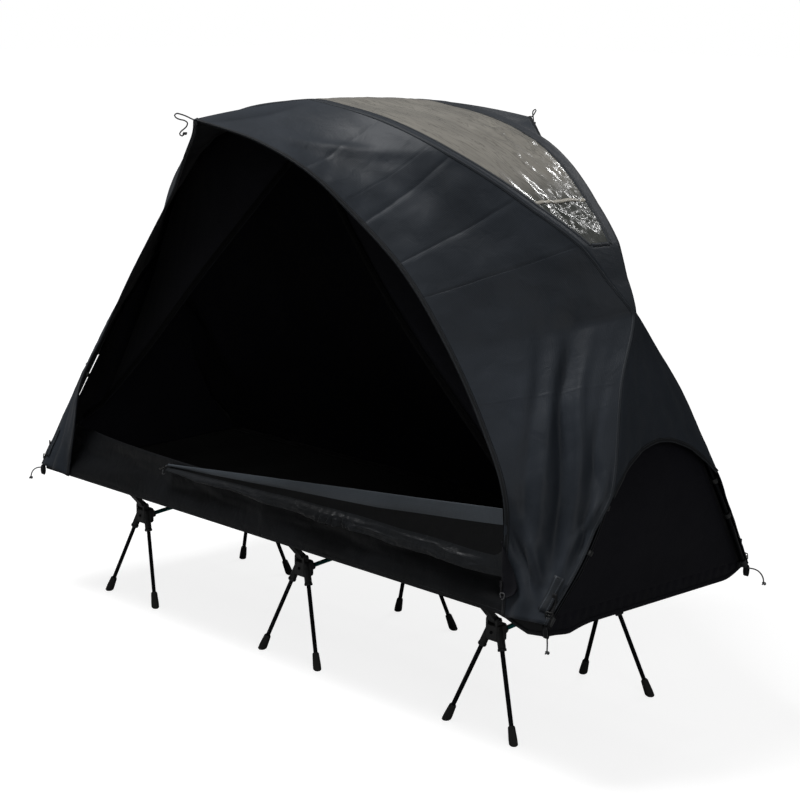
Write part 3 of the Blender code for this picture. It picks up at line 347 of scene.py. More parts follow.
# %% Strands and knots
def put(name, data, finishes, body="frame"):
    """Puts a mesh or a curve in the scene with its finishes. It rides on a body."""
    for finish in finishes:
        data.materials.append(finish)
    item = bpy.data.objects.new(name, data)
    bpy.context.scene.collection.objects.link(item)
    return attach(item, body)


def strand(name, points, radius, finish, body="frame", closed=False):
    """A round cord or bar along the points."""
    curve = bpy.data.curves.new(name, "CURVE")
    curve.dimensions = "3D"
    curve.bevel_depth = radius
    curve.bevel_resolution = 4
    curve.use_fill_caps = True
    spline = curve.splines.new("POLY")
    spline.points.add(len(points) - 1)
    for knot, point in zip(spline.points, points):
        knot.co = (*point, 1)
    spline.use_cyclic_u = closed
    spline.use_smooth = True
    return put(name, curve, [finish], body)


def overhand_knot(name, centre, radius, finish):
    """A small overhand knot: a closed trefoil of the same cord, drawn up tight."""
    turns = np.linspace(0, 2 * math.pi, 40, endpoint=False)
    trefoil = np.stack([
        np.sin(turns) + 2 * np.sin(2 * turns),
        np.cos(turns) - 2 * np.cos(2 * turns),
        -1.4 * np.sin(3 * turns),
    ], axis=1)
    points = np.array(centre) + trefoil * 0.9 * radius
    return strand(name, points, radius * 0.85, finish, closed=True)


print("strands and knots are ready to tie")

# %% Cords
CORD_RADIUS = 1.7 * MM
CORD_ROUTES_MM = {
    "tip_cord_front": (
        (22.7, -572.8, 1391.6), (19.7, -578.0, 1394.3), (12.7, -587.0, 1399.8), (4.7, -596.0, 1403.8),
        (-2.3, -602.0, 1405.3), (-6.3, -605.0, 1401.8), (-4.3, -604.0, 1396.8), (2.7, -597.0, 1391.8),
        (10.7, -589.0, 1389.3), (14.7, -584.0, 1384.3), (13.7, -585.0, 1377.3), (8.7, -590.0, 1369.8),
        (3.7, -595.0, 1363.8), (1.7, -597.0, 1357.8), (5.7, -593.0, 1353.8), (10.7, -589.0, 1359.8),
    ),
    "tip_cord_rear": (
        (22.7, 573.6, 1358.8), (24.7, 580.0, 1364.0), (26.7, 583.0, 1370.2), (27.2, 587.0, 1376.2),
        (23.7, 588.0, 1379.2), (19.7, 585.0, 1375.7), (20.2, 581.5, 1368.7), (22.7, 581.0, 1360.7),
        (24.7, 580.5, 1351.7), (25.7, 581.0, 1342.7),
    ),
    "corner_cord_right_front": (
        (961.3, -347.8, 356.0), (960.9, -349.8, 353.1), (961.2, -351.5, 349.0), (962.0, -352.5, 343.0),
        (962.8, -353.0, 336.0), (963.5, -353.0, 328.0), (963.7, -352.5, 320.0), (963.5, -352.0, 312.0),
        (963.0, -351.5, 304.0), (962.5, -351.0, 296.0),
    ),
    "corner_cord_left_front": (
        (-961.3, -347.8, 356.0), (-960.9, -349.8, 353.1), (-964.0, -353.0, 350.5),
        (-970.0, -357.0, 349.0), (-977.0, -361.0, 347.5), (-984.0, -365.0, 344.5),
        (-990.0, -368.5, 339.5), (-994.5, -371.0, 332.5), (-997.0, -372.5, 324.5),
        (-998.0, -373.0, 316.0),
    ),
    "corner_cord_right_rear": (
        (961.3, 347.8, 356.0), (960.9, 349.8, 353.1), (964.0, 353.5, 350.5), (970.0, 359.0, 349.0),
        (977.0, 365.0, 347.5), (983.5, 370.5, 344.0), (989.0, 375.0, 338.0), (993.0, 378.5, 330.0),
        (995.0, 380.5, 321.0), (995.5, 381.5, 312.0),
    ),
}
for name, route in CORD_ROUTES_MM.items():
    at_tip = name.startswith("tip")
    finish = tip_braid if at_tip else elastic_braid
    path = smooth_curve(np.array(route) * MM, np.linspace(0, 1, 2 * len(route) - 1))
    cord = strand(name + "_braid", path, CORD_RADIUS, finish)
    knot = overhand_knot(name + "_knot", path[-1], CORD_RADIUS, finish)
    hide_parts(name)

# %% [markdown]
# ## The tent's shape
# Everything sewn hangs on two long poles that cross at the ends of the bed, and on a short ridge
# pole. The tables give one pole's right half and the front hem's right half, as shares of a few
# lengths. The left half is the mirror image. At last, the closed rear door draws the crown a
# little to the right and tips it backwards, and `drawn` moves every finished point to match.

# %% Lengths and tables
COT_LENGTH = 1.893
COT_WIDTH = 0.680
RAIL_HEIGHT = 0.362
RAIL_RADIUS = 0.007
SHEET_THICKNESS = 0.0016
SHEET_SAG = 0.010
SLEEVE_EASE = 0.0004
TENT_CLOTH = 0.002
FLY_CLOTH = 0.0016
TENT_POLE_RADIUS = 0.00475
RIDGE_HEIGHT = 1.401
VISOR_REACH = 0.565
VISOR_DROP = 0.0508
POLE_SHARES = (
    (0.0, -0.609, 1.0), (0.238, -0.606, 0.981), (0.454, -0.54, 0.921), (0.647, -0.355, 0.829),
    (0.816, -0.135, 0.705), (0.901, 0.0, 0.596), (0.955, 0.255, 0.458), (1.015, 0.519, 0.248),
    (1.019, 0.700, 0.142), (1.000, 1.0, 0.0),
)
CROSSING_POINT, ARCH_POINT = 5, 7
HEM_SHARES = (
    (0.0, 1.0, 1.0), (0.141, 0.850, 0.961), (0.272, 0.745, 0.903), (0.408, 0.655, 0.810),
    (0.564, 0.592, 0.699), (0.705, 0.568, 0.570), (0.854, 0.562, 0.402), (0.968, 0.586, 0.244),
    (0.985, 0.603, 0.122), (1.0, 0.6215, 0.0),
)
SLEEVE_BORE = RAIL_RADIUS + SLEEVE_EASE
SLEEVE_RADIUS = SLEEVE_BORE + SHEET_THICKNESS
RAIL_Y = COT_WIDTH / 2
BED_END = COT_LENGTH / 2
WALL_Y = RAIL_Y + SLEEVE_RADIUS + SLEEVE_EASE + TENT_CLOTH
WALL_X = BED_END + SLEEVE_EASE + TENT_CLOTH
SHOULDER_Z = RAIL_HEIGHT + SLEEVE_RADIUS / 2
SKIRT_Z = RAIL_HEIGHT - 0.014
END_SKIRT_Z = RAIL_HEIGHT - 0.034
SILL_Z = RAIL_HEIGHT + 0.113
POLE_FOOT = np.array((WALL_X + 0.013, WALL_Y - 0.0065, RAIL_HEIGHT - 0.002))
RIDGE_RISE = RIDGE_HEIGHT - POLE_FOOT[2]
FLY_SKIRT_Y = WALL_Y + 0.005
FLY_OUT = TENT_POLE_RADIUS + 0.0035
POLE_LIFT = TENT_POLE_RADIUS + 0.0003
RIDGE_Y = -POLE_SHARES[0][1] * POLE_FOOT[1]
RIDGE_POLE_TOP = RIDGE_HEIGHT + 2 * TENT_POLE_RADIUS + 0.0003 + VISOR_DROP * (RIDGE_Y / VISOR_REACH) ** 2
TIP_Y = VISOR_REACH + 0.007
HEM_FOOT_X = BED_END + 0.013 - 0.127
RIDGE_SPAN = 0.090
CORE = np.array((0.0, 0.0, 0.42 * RIDGE_HEIGHT))
print("pole foot at", POLE_FOOT.round(3), "and inner walls at", round(WALL_X, 3), round(WALL_Y, 3))

# %% Lines of the poles and hems
def unit(vectors):
    """The vectors, each scaled to a length of one."""
    return vectors / np.linalg.norm(vectors, axis=-1, keepdims=True)


def bell(values, middle, reach):
    """A smooth bump, 1 in the middle and nearly 0 from twice its reach."""
    return np.exp(-(((values - middle) / reach) ** 2))


def pole_half():
    """The right half of a long pole, from the ridge's middle to its foot at the back."""
    points = np.array(POLE_SHARES) * (POLE_FOOT[0], POLE_FOOT[1], RIDGE_RISE)
    points[:, 2] += POLE_FOOT[2]
    return points


def pole_line(shares):
    """Places on a long pole's right half, at shares of the way from the ridge to the foot."""
    right = pole_half()
    return smooth_curve(np.vstack([right[:0:-1] * MIRROR_X, right]), (1 + np.asarray(shares)) / 2)


CROSSING, ARCH = chord_shares(pole_half())[[CROSSING_POINT, ARCH_POINT]]
WINDOW_END = CROSSING * 0.82
KEY_ROWS = np.concatenate([
    np.linspace(0, WINDOW_END, 7),
    np.linspace(WINDOW_END, CROSSING, 3)[1:],
    np.linspace(CROSSING, ARCH, 5)[1:],
    np.linspace(ARCH, 1, 5)[1:],
])


def outward(points):
    """The way out of the tent at each place, away from a core above the bed."""
    core = points * (0.4, 0, 0)
    core[..., 2] = CORE[2]
    return unit(points - core)


def crossing_lift(shares):
    """How far the outer pole rides out over the inner one where they cross."""
    return POLE_LIFT * bell(np.asarray(shares), CROSSING, 0.100 / (RIDGE_HEIGHT + POLE_FOOT[0]))


def ridge_pole_height(y):
    """Height of the short ridge pole's centre line."""
    return RIDGE_POLE_TOP - VISOR_DROP * (y / VISOR_REACH) ** 2


def drawn(points):
    """Where places on the tent go as the closed rear door draws on its crown."""
    x, y, z = np.moveaxis(np.asarray(points, float), -1, 0)
    rise = np.maximum((z - RAIL_HEIGHT) / RIDGE_RISE, 0) ** 2
    return np.stack([x + 0.024 * rise * (1 - x / POLE_FOOT[0]), y, z - 0.031 * rise * y], axis=-1)


def fly_edge(shares):
    """The front ridge and corner line of the fly's inner face, outside the poles."""
    base = pole_line(shares)
    base[:, 1] = -np.abs(base[:, 1])
    turn = np.clip((shares - ARCH) / ((1 - ARCH) * 0.25), 0, 1)[:, None]
    way = unit(outward(base) * (1 - turn) + np.array((0.25, -1, 0)) * turn)
    key = pole_line(KEY_ROWS)
    bends = np.zeros(len(KEY_ROWS))
    bends[1:-1] = np.linalg.norm(key[:-2] - 2 * key[1:-1] + key[2:], axis=1) * 0.20
    lift = FLY_OUT + crossing_lift(shares) + np.interp(shares, KEY_ROWS, bends) + 0.0035 * turn[:, 0]
    edge = base + way * lift[:, None]
    top = ridge_pole_height(edge[0, 1]) + FLY_OUT - edge[0, 2]
    edge[:, 2] += top * bell(edge[:, 0], 0, RIDGE_SPAN)
    edge[np.asarray(shares) >= 1, 1] = -FLY_SKIRT_Y
    return edge


def hem_line(shares):
    """The arched front hem, from the visor's tip to its foot beside the corner."""
    tip_z = ridge_pole_height(TIP_Y) + FLY_OUT
    points = np.array(HEM_SHARES) * (HEM_FOOT_X, -TIP_Y, tip_z - SKIRT_Z)
    points[:, 2] += SKIRT_Z
    points[-1, 1] = -FLY_SKIRT_Y
    return smooth_curve(points, shares)


print("ridge", RIDGE_HEIGHT, "crossing at", round(CROSSING, 3), "arch at", round(ARCH, 3))

# %% [markdown]
# ## Sewing cloth in code
# Each panel is a grid of points between two edges. Panels that share an edge share its points
# too, so they can be sewn together by merging them, and the fly becomes one continuous sheet.
# Folds are moves along the sheet's own normal: a fold follows a short path over the panel and
# fades out to each side, and a pucker is smooth noise. A drape simulation could give folds as
# well, but this cloth is under tension, with its folds in known places, so they are listed one by one.

# %% Grids and their normals
def spread(count):
    """Shares from 0 to 1 across a panel, as one row."""
    return np.linspace(0, 1, count)[None, :]


def across(first, last, columns):
    """Points on straight lines between two edges, row by row."""
    return first[:, None] + (last - first)[:, None] * spread(columns + 1)[..., None]


def normals(grid, away_from=CORE):
    """The normal at each point of a grid, pointing away from a place."""
    cross = np.cross(np.gradient(grid, axis=0), np.gradient(grid, axis=1))
    cross = cross / np.maximum(np.linalg.norm(cross, axis=-1, keepdims=True), 1e-9)
    middle = len(grid) // 2, grid.shape[1] // 2
    facing = np.dot(cross[middle], grid[middle] - np.asarray(away_from))
    return cross if facing > 0 else -cross


def on_panel(grid, row, column):
    """The place on a grid at a share of its rows and columns."""
    r = min(row * (grid.shape[0] - 1), grid.shape[0] - 1 - 1e-6)
    c = min(column * (grid.shape[1] - 1), grid.shape[1] - 1 - 1e-6)
    i, j = int(r), int(c)
    a, b = r - i, c - j
    low, high = grid[i : i + 2, j] * (1 - b) + grid[i : i + 2, j + 1] * b
    return low * (1 - a) + high * a


print("five shares across a panel:", spread(5)[0])

# %% Folds and puckers
def fold_height(grid, folds):
    """Height of a list of folds over a grid. Each is a path of row and column shares of the
    panel, a half width and a height, in metres. Height fades out towards the path's ends."""
    height = np.zeros(grid.shape[:2])
    for path, width, rise in folds:
        spots = [on_panel(grid, row, column) for row, column in path]
        spots = smooth_curve(spots, np.linspace(0, 1, 4 * len(spots)))
        nearest = np.full(grid.shape[:2], np.inf)
        along = np.zeros(grid.shape[:2])
        for k, (start, end) in enumerate(zip(spots, spots[1:])):
            step = end - start
            t = np.clip(((grid - start) @ step) / (step @ step), 0, 1)
            gap = np.linalg.norm(grid - start - t[..., None] * step, axis=-1)
            closer = gap < nearest
            nearest[closer] = gap[closer]
            along[closer] = ((k + t) / (len(spots) - 1))[closer]
        fade = np.sin(math.pi * np.clip(along, 0, 1)) ** 1.3
        height += rise * bell(nearest, 0, width) * fade
    return height


def pucker_height(grid, size, depth, shift=0.0):
    """Smooth noise over a grid, with lumps of the given size."""
    start = Vector((shift, shift, shift))
    values = [noise.fractal(Vector(point) / size + start, 0.9, 2.0, 3) for point in grid.reshape(-1, 3)]
    return np.array(values).reshape(grid.shape[:2]) * depth


def held(shares, reach):
    """1 in the middle of a panel and 0 at both its edges, over a reach of its width."""
    return np.clip(np.minimum(shares, 1 - shares) / reach, 0, 1)


print("held over a quarter at each end:", held(spread(9)[0], 0.25))

# %% Sewing
WELD = 1e-5


def finished(name, shape, finishes, body="frame"):
    """Turns a worked shape into an object that rides on a body."""
    mesh = bpy.data.meshes.new(name)
    shape.to_mesh(mesh)
    shape.free()
    return put(name, mesh, finishes, body)


def panel_faces(shape, layer, grid, slot, away_from):
    """Adds one panel's faces, which face out, with their places on the cloth as UV."""
    down, over = distances(grid), distances(grid.swapaxes(0, 1)).T
    verts = [[shape.verts.new(point) for point in row] for row in grid]
    facing = normals(grid, away_from)
    for i, j in np.ndindex(grid.shape[0] - 1, grid.shape[1] - 1):
        kept = []
        for spot in ((i, j), (i, j + 1), (i + 1, j + 1), (i + 1, j)):
            if all(np.linalg.norm(grid[spot] - grid[other]) > WELD for other in kept):
                kept.append(spot)
        if len(kept) < 3:
            continue
        a, b, c = (grid[spot] for spot in kept[:3])
        if np.dot(np.cross(b - a, c - a), facing[i, j]) < 0:
            kept = kept[::-1]
        face = shape.faces.new([verts[row][column] for row, column in kept])
        face.smooth = True
        face.material_index = slot
        for loop, spot in zip(face.loops, kept):
            loop[layer].uv = (over[spot], down[spot])


def sewn(name, panels, finishes, thickness=0, side=1, lining=0, away_from=CORE):
    """Sews panels, each a grid or a grid and its finish's number, into one sheet. Its thickness
    grows outwards (side 1), inwards (-1) or both ways (0). A lining is the inside's finish."""
    shape = bmesh.new()
    layer = shape.loops.layers.uv.new("cloth")
    for panel in panels:
        grid, slot = panel if isinstance(panel, tuple) else (panel, 0)
        panel_faces(shape, layer, grid, slot, away_from)
    bmesh.ops.remove_doubles(shape, verts=shape.verts[:], dist=WELD)
    bmesh.ops.delete(shape, geom=[v for v in shape.verts if not v.link_faces], context="VERTS")
    item = finished(name, shape, finishes)
    area = sum(face.area for face in item.data.polygons)
    if thickness:
        skin = item.modifiers.new("thickness", "SOLIDIFY")
        skin.thickness = thickness
        skin.offset = side
        skin.material_offset = lining
    print(name, "has", len(item.data.polygons), "faces,", round(area, 2), "square metres")
    return item, area


print("panels are welded where they lie within", WELD / MM, "mm")

# %% [markdown]
# ## The fly sheet
# Front and rear visors run from the ridges out to arched hems. The rear one goes on down as the
# closed rear door. The roof has a hole for the window, and each end has an arched cut-out. Cloth
# that has lain folded in its bag keeps sharp packing creases, which cross the visor here, and
# the tight corners pull long soft folds down towards each foot.

# %% Rows with packing creases
CREASES = (
    (0.141, 0.055, -0.0005), (0.238, 0.042, -0.0004), (0.270, 0.059, -0.0009),
    (0.378, 0.038, -0.0007), (0.479, 0.004, -0.0009), (0.680, -0.010, 0.0004),
)
CREASE_REACH = 0.0016
CREASE_CLEARANCE = 2.2 * CREASE_REACH
ROWS_PER_BAND = 8

crease_rows, crease_slants, crease_rises = np.array(CREASES).T
bands = np.arange(len(KEY_ROWS))
plain_rows = np.interp(np.arange(bands[-1] * ROWS_PER_BAND + 1) / ROWS_PER_BAND, bands, KEY_ROWS)
from_crease = np.abs(plain_rows[:, None] - crease_rows).min(axis=1)
is_key = np.arange(len(plain_rows)) % ROWS_PER_BAND == 0
loose_rows = plain_rows[is_key | (from_crease > CREASE_CLEARANCE)]
extra_rows = [r + step for r in crease_rows for step in (-CREASE_REACH, 0, CREASE_REACH)]
FLY_ROWS = np.array(sorted({*loose_rows, *extra_rows}))
HEM_ROWS = FLY_ROWS + np.interp(FLY_ROWS, [0, *crease_rows, 1], [0, *crease_slants, 0])


def row_at(share):
    """The number of the fly row that lies at a share."""
    return int(np.abs(FLY_ROWS - share).argmin())


def crease_height(shares):
    """Height of the packing creases at each row and column."""
    height = np.zeros((len(FLY_ROWS), shares.size))
    for place, rise in zip(crease_rows, crease_rises):
        height[row_at(place)] = rise * held(shares, 0.06)
    return height


print(len(FLY_ROWS), "rows, with", len(CREASES), "creases")

# %% Visors
VISOR_FOLDS_RIGHT = (
    (((0.03, 0.86), (0.10, 0.52), (0.17, 0.20), (0.21, 0.06)), 0.016, 0.007),
    (((0.04, 0.80), (0.16, 0.60), (0.28, 0.40)), 0.020, -0.004),
    (((0.06, 0.90), (0.20, 0.86), (0.34, 0.88)), 0.018, 0.003),
    (((0.44, 0.22), (0.58, 0.44), (0.72, 0.58), (0.86, 0.60), (0.98, 0.45)), 0.014, 0.009),
    (((0.45, 0.34), (0.58, 0.54), (0.72, 0.72), (0.84, 0.76), (0.96, 0.55)), 0.012, -0.008),
    (((0.48, 0.20), (0.56, 0.36), (0.62, 0.42), (0.74, 0.46), (0.86, 0.40), (0.97, 0.10)), 0.012, -0.016),
    (((0.50, 0.12), (0.62, 0.28), (0.74, 0.31), (0.86, 0.24), (0.97, 0.04)), 0.012, 0.013),
    (((0.58, 0.12), (0.70, 0.18), (0.82, 0.14), (0.95, 0.02)), 0.009, -0.010),
    (((0.70, 0.06), (0.78, 0.10), (0.85, 0.17), (0.94, 0.20)), 0.007, 0.008),
    (((0.72, 0.22), (0.77, 0.12), (0.82, 0.02)), 0.007, -0.007),
    (((0.78, 0.26), (0.83, 0.14), (0.88, 0.02)), 0.007, -0.007),
    (((0.80, 0.98), (0.86, 0.86), (0.91, 0.66), (0.985, 0.24)), 0.009, -0.017),
    (((0.78, 0.88), (0.86, 0.68), (0.92, 0.46), (0.985, 0.14)), 0.010, 0.010),
)
VISOR_FOLDS_LEFT = (
    (((0.03, 0.84), (0.12, 0.50), (0.22, 0.16)), 0.018, 0.006),
    (((0.30, 0.30), (0.50, 0.36), (0.72, 0.44), (0.94, 0.55)), 0.016, 0.006),
    (((0.36, 0.58), (0.58, 0.62), (0.80, 0.66), (0.95, 0.70)), 0.015, -0.005),
    (((0.50, 0.14), (0.70, 0.18), (0.94, 0.30)), 0.014, -0.005),
    (((0.70, 0.80), (0.84, 0.80), (0.95, 0.78)), 0.012, 0.004),
)
REAR_FOLDS = (
    (((0.03, 0.86), (0.12, 0.50), (0.22, 0.14)), 0.020, 0.006),
    (((0.10, 0.70), (0.26, 0.50), (0.40, 0.36)), 0.022, -0.004),
    (((0.50, 0.20), (0.66, 0.28), (0.92, 0.40)), 0.014, 0.005),
    (((0.52, 0.55), (0.70, 0.60), (0.94, 0.66)), 0.014, -0.005),
)
VISOR_COLUMNS = 36
REAR_COLUMNS = 24
DOOR_COLUMNS = 12


def visor(columns, waves, folds, shift, depth):
    """One visor's right half from the ridge to the hem, with its sag, waves, folds and creases."""
    edge = fly_edge(FLY_ROWS)
    hem = hem_line(HEM_ROWS)
    grid = across(edge, hem, columns)
    share = spread(columns + 1)
    face = unit(np.cross(hem - edge, np.gradient((edge + hem) / 2, axis=0)))
    face *= -np.sign(face[:, 1:2])
    down = FLY_ROWS[:, None]
    belly = 4 * share * (1 - share) * (0.008 * down**2 - 0.016 * (1 - down**2))
    wave = np.sin(math.pi * share) * np.sin(2 * math.pi * waves * share) * 0.006 * down
    grid = grid + face[:, None] * (belly + wave)[..., None]
    grid[0] = across(edge[:1], hem[:1], columns)[0]
    raised = ridge_pole_height(grid[0, :, 1]) + FLY_OUT - grid[0, :, 2]
    grid[..., 2] += raised[None] * bell(edge[:, :1], 0, RIDGE_SPAN)
    height = fold_height(grid, folds) + pucker_height(grid, 0.11, depth, shift)
    height += pucker_height(grid, 0.035, depth / 4, shift + 5) * np.clip(3 * down - 1, 0.3, 1)
    height *= held(share, 0.08) * np.clip(down / 0.02, 0, 1)
    height += crease_height(share[0])
    return grid + normals(grid) * height[..., None]


visor_right = visor(VISOR_COLUMNS, 2, VISOR_FOLDS_RIGHT, 0.0, 0.0034)
visor_left = visor(VISOR_COLUMNS, 2, VISOR_FOLDS_LEFT, 3.7, 0.004) * MIRROR_X
rear_right = visor(REAR_COLUMNS, 1, REAR_FOLDS, 7.9, 0.006) * MIRROR_Y
rear_left = visor(REAR_COLUMNS, 1, REAR_FOLDS, 11.3, 0.006) * MIRROR_Y * MIRROR_X
visors = [visor_right, visor_left, rear_right, rear_left]
print("visors:", visor_right.shape, rear_right.shape)

# %% [markdown]
# At the right front corner a dark hollow shows beside the zip. A patch of the inner tent's black
# cloth is laid there as painted shade: it is cut from the visor's own surface by a table of rows
# and columns, and it lies a little proud of it.

# %% Corner patch of painted shade
SHADE_PATCH_ROWS, SHADE_PATCH_COLUMNS = 40, 13
SHADE_PATCH_EDGE = np.array((
    (0.858, 0.99), (0.89, 0.88), (0.92, 0.77), (0.942, 0.69), (0.953, 0.71), (0.960, 0.84), (0.963, 0.99)
))


def painted_corner_shade(panel):
    """Painted shade beside the foot of the zip: black cloth a little in front of the visor."""
    rows = np.linspace(SHADE_PATCH_EDGE[0, 0], SHADE_PATCH_EDGE[-1, 0], SHADE_PATCH_ROWS)
    starts = np.interp(rows, *SHADE_PATCH_EDGE.T)
    grid = np.array([
        [on_panel(panel, row, column) for column in np.linspace(start, 1, SHADE_PATCH_COLUMNS)]
        for row, start in zip(rows, starts)
    ])
    share = spread(SHADE_PATCH_COLUMNS)
    proud = 0.0036 + 0.009 * (1 - share) ** 2 + 0.003 * np.sin(math.pi * share)
    return grid + np.array((0, -1, 0)) * proud[..., None]


corner_shade_patch = painted_corner_shade(visor_right)
print("pocket:", corner_shade_patch.shape)

# %% Rear door and roof
REAR_DOOR_FOLDS = (
    (((0.10, 0.0), (0.12, 0.5), (0.14, 1.0)), 0.030, 0.008),
    (((0.28, 0.0), (0.27, 0.5), (0.26, 1.0)), 0.028, -0.007),
    (((0.42, 0.05), (0.40, 0.5), (0.38, 1.0)), 0.024, 0.007),
    (((0.62, 0.1), (0.58, 0.5), (0.54, 1.0)), 0.022, -0.005),
)
WINDOW_BORDERS = {-1: (0.018, 0.030), 1: (0.048, 0.034)}


def rear_door(hem, shift):
    """The closed rear door, hanging from the rear hem to the skirt."""
    grid = across(hem, hem * (1, 0, 0) + (0, FLY_SKIRT_Y, SKIRT_Z), DOOR_COLUMNS)
    height = fold_height(grid, REAR_DOOR_FOLDS) + pucker_height(grid, 0.14, 0.008, shift)
    height *= held(spread(DOOR_COLUMNS + 1), 0.15) * np.clip((1 - FLY_ROWS[:, None]) / 0.1, 0, 1)
    height *= np.clip(FLY_ROWS[:, None] / 0.02, 0, 1)
    return grid + np.array((0, 1, 0.15)) * height[..., None]


def roof_row(point, y):
    """A point of the roof beside an edge point, raised over the ridge pole."""
    x, edge_y, z = point
    raised = ridge_pole_height(y) - ridge_pole_height(edge_y)
    return (x, y, z + raised * math.exp(-((x / RIDGE_SPAN) ** 2)))


def window_half(side, edge, shares):
    """How far the window reaches from the roof's middle, to the front (-1) or to the rear (1)."""
    return np.abs(edge[:, 1]) - np.interp(shares, (0, WINDOW_END), WINDOW_BORDERS[side])


ridge_points = fly_edge(FLY_ROWS)
half_roof = np.abs(ridge_points[:, 1])
window_row, crossing_row, arch_row = (row_at(share) for share in (WINDOW_END, CROSSING, ARCH))
half_window = {}
for side in SIDES:
    half = window_half(side, ridge_points, FLY_ROWS)
    narrowed = half_roof * half[window_row] / half_roof[window_row]
    half_window[side] = np.where(np.arange(len(FLY_ROWS)) <= window_row, half, narrowed)


def roof_band(side, first_row, start, stop, count):
    """A band of roof on one side of its middle, from one reach to another, to the crossing."""
    return np.array([
        [roof_row(ridge_points[i], side * y) for y in np.linspace(start[i], stop[i], count)]
        for i in range(first_row, crossing_row + 1)
    ])


strips = [roof_band(side, 0, half_roof, half_window[side], 5) for side in SIDES]
tails = [roof_band(side, window_row, half_window[side], 0 * half_roof, 7) for side in SIDES]
print("the window ends at row", window_row, "and the poles cross at row", crossing_row)

# %% Ends of the fly, and its seams
END_COLUMNS = 29
ARCH_RISE = 0.095


def end_panel():
    """The fly's end, from the poles' crossing down to its arched cut-out."""
    rows = ridge_points[crossing_row : arch_row + 1]
    top, foot = rows[0], rows[-1]
    place = np.linspace(-1, 1, END_COLUMNS)
    crown = ((foot[2] + ARCH_RISE * (1 - place**2) - top[2]) / (foot[2] - top[2]))[None, :]
    x, reach, z = (column[:, None] for column in rows.T)
    grid = np.stack([
        top[0] + (x - top[0]) * crown, place * np.abs(reach), top[2] + (z - top[2]) * crown
    ], axis=-1)
    share = spread(END_COLUMNS)
    down = np.linspace(0, 1, len(rows))[:, None]
    height = 0.005 * np.sin(2 * math.pi * 3 * share) * down + pucker_height(grid, 0.07, 0.004, 2.2)
    height = np.abs(height) * 0.6 * held(share, 0.15) * np.clip(down * 3, 0, 1)
    return grid + normals(grid) * height[..., None]


end = end_panel()
doubled = strips + tails + [end]
panels = visors + [rear_door(rear_right[:, -1], 1.0), rear_door(rear_right[:, -1], 4.0) * MIRROR_X]
panels += doubled + [panel * MIRROR_X for panel in doubled]
fly, fly_area = sewn(
    "fly_sheet", [drawn(p) for p in panels], [coated_taffeta, blackout_coating], FLY_CLOTH, lining=1
)
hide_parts("fly")

# %% [markdown]
# ## Sewn tapes
# A ribbon needs a spine and a normal at each of its points. The spines are rows and columns of
# the panels above, and the normals are theirs, so a tape lies exactly on the cloth.

# %% Tape helper
def tape(name, runs, width, thickness, finish, body="frame", lift=0.0):
    """Flat ribbons along spines. Each run is a pair: points, and normals that face out."""
    shape = bmesh.new()
    layer = shape.loops.layers.uv.new("ribbon")
    for spine, facing in runs:
        facing = unit(np.asarray(facing, float))
        side = unit(np.cross(unit(np.gradient(spine, axis=0)), facing))
        length = distances(spine)
        low = spine + facing * lift
        high = low + facing * thickness
        wide = side * width / 2
        slim = side * (width / 2 - thickness / 2)
        rings = np.stack([low - wide, high - slim, high + slim, low + wide], axis=1)
        verts = [[shape.verts.new(point) for point in ring] for ring in rings]
        for i in range(len(rings) - 1):
            for j, (a, b) in enumerate(((0, 0.06), (0.06, 0.94), (0.94, 1), (0, 1))):
                k = (j + 1) % 4
                face = shape.faces.new((verts[i][j], verts[i][k], verts[i + 1][k], verts[i + 1][j]))
                for loop, (u, v) in zip(face.loops, ((i, a), (i, b), (i + 1, b), (i + 1, a))):
                    loop[layer].uv = (length[u], v)
                face.smooth = j == 1
        shape.faces.new(verts[0])
        shape.faces.new(verts[-1][::-1])
    bmesh.ops.recalc_face_normals(shape, faces=shape.faces[:])
    return finished(name, shape, [finish], body)


def column_run(grid, column, inset=0.0):
    """A spine down one column of a drawn panel, moved in from its edge, with the panel's normals."""
    shown = drawn(grid)
    spine = shown[:, column]
    if inset:
        spine = spine + unit(shown[:, column - 2 if column else 2] - spine) * inset
    return spine, normals(shown)[:, column]


def row_run(grid, row):
    """A spine along one row of a drawn panel."""
    shown = drawn(grid)
    return shown[row], normals(shown)[row]


def facing_run(spine, way):
    """A spine whose normals all point one way."""
    return spine, np.tile(np.array(way, float), (len(spine), 1))


def turned_over(runs):
    """The same spines, for a tape on the cloth's other side."""
    return [(spine, -facing) for spine, facing in runs]


print("a tape on the visor's hem has", len(column_run(visor_right, VISOR_COLUMNS)[0]), "places")

# %% Tapes on the fly
HEM_TAPE = 0.012
RIDGE_INSET, WINDOW_INSET = 0.004, 0.005
hem_runs = [column_run(grid, VISOR_COLUMNS, HEM_TAPE / 2) for grid in visors[:2]]
ridge_runs = [column_run(grid, 0, RIDGE_INSET) for grid in visors]
rear_runs = [column_run(grid, REAR_COLUMNS) for grid in visors[2:]]
rear_runs = [(spine, facing + (0, 1, 0)) for spine, facing in rear_runs]
window_runs = [
    column_run((strip * side)[: window_row + 1], -1, WINDOW_INSET)
    for strip in strips
    for side in (SAME, MIRROR_X)
]
window_runs += [row_run(tail * side, 0) for tail in tails for side in (SAME, MIRROR_X)]
arch_runs = [row_run(end * side, len(end) - 1) for side in (SAME, MIRROR_X)]
fly_tapes = [
    tape("front_hem_binding", hem_runs, HEM_TAPE, 0.0009, binding_tape, lift=FLY_CLOTH),
    tape("front_hem_facing", turned_over(hem_runs), HEM_TAPE, 0.0009, binding_tape, lift=0.0002),
    tape("ridge_seams", ridge_runs, 0.008, 0.0007, seam_tape, lift=FLY_CLOTH),
    tape("rear_hem_seams", rear_runs, 0.010, 0.0008, seam_tape, lift=FLY_CLOTH * 1.2),
    tape("window_welts", window_runs, 0.010, 0.0007, seam_tape, lift=FLY_CLOTH),
    tape("end_arch_binding", arch_runs, 0.010, 0.0009, binding_tape, lift=FLY_CLOTH),
]
print(len(fly_tapes), "tapes sewn on the fly")
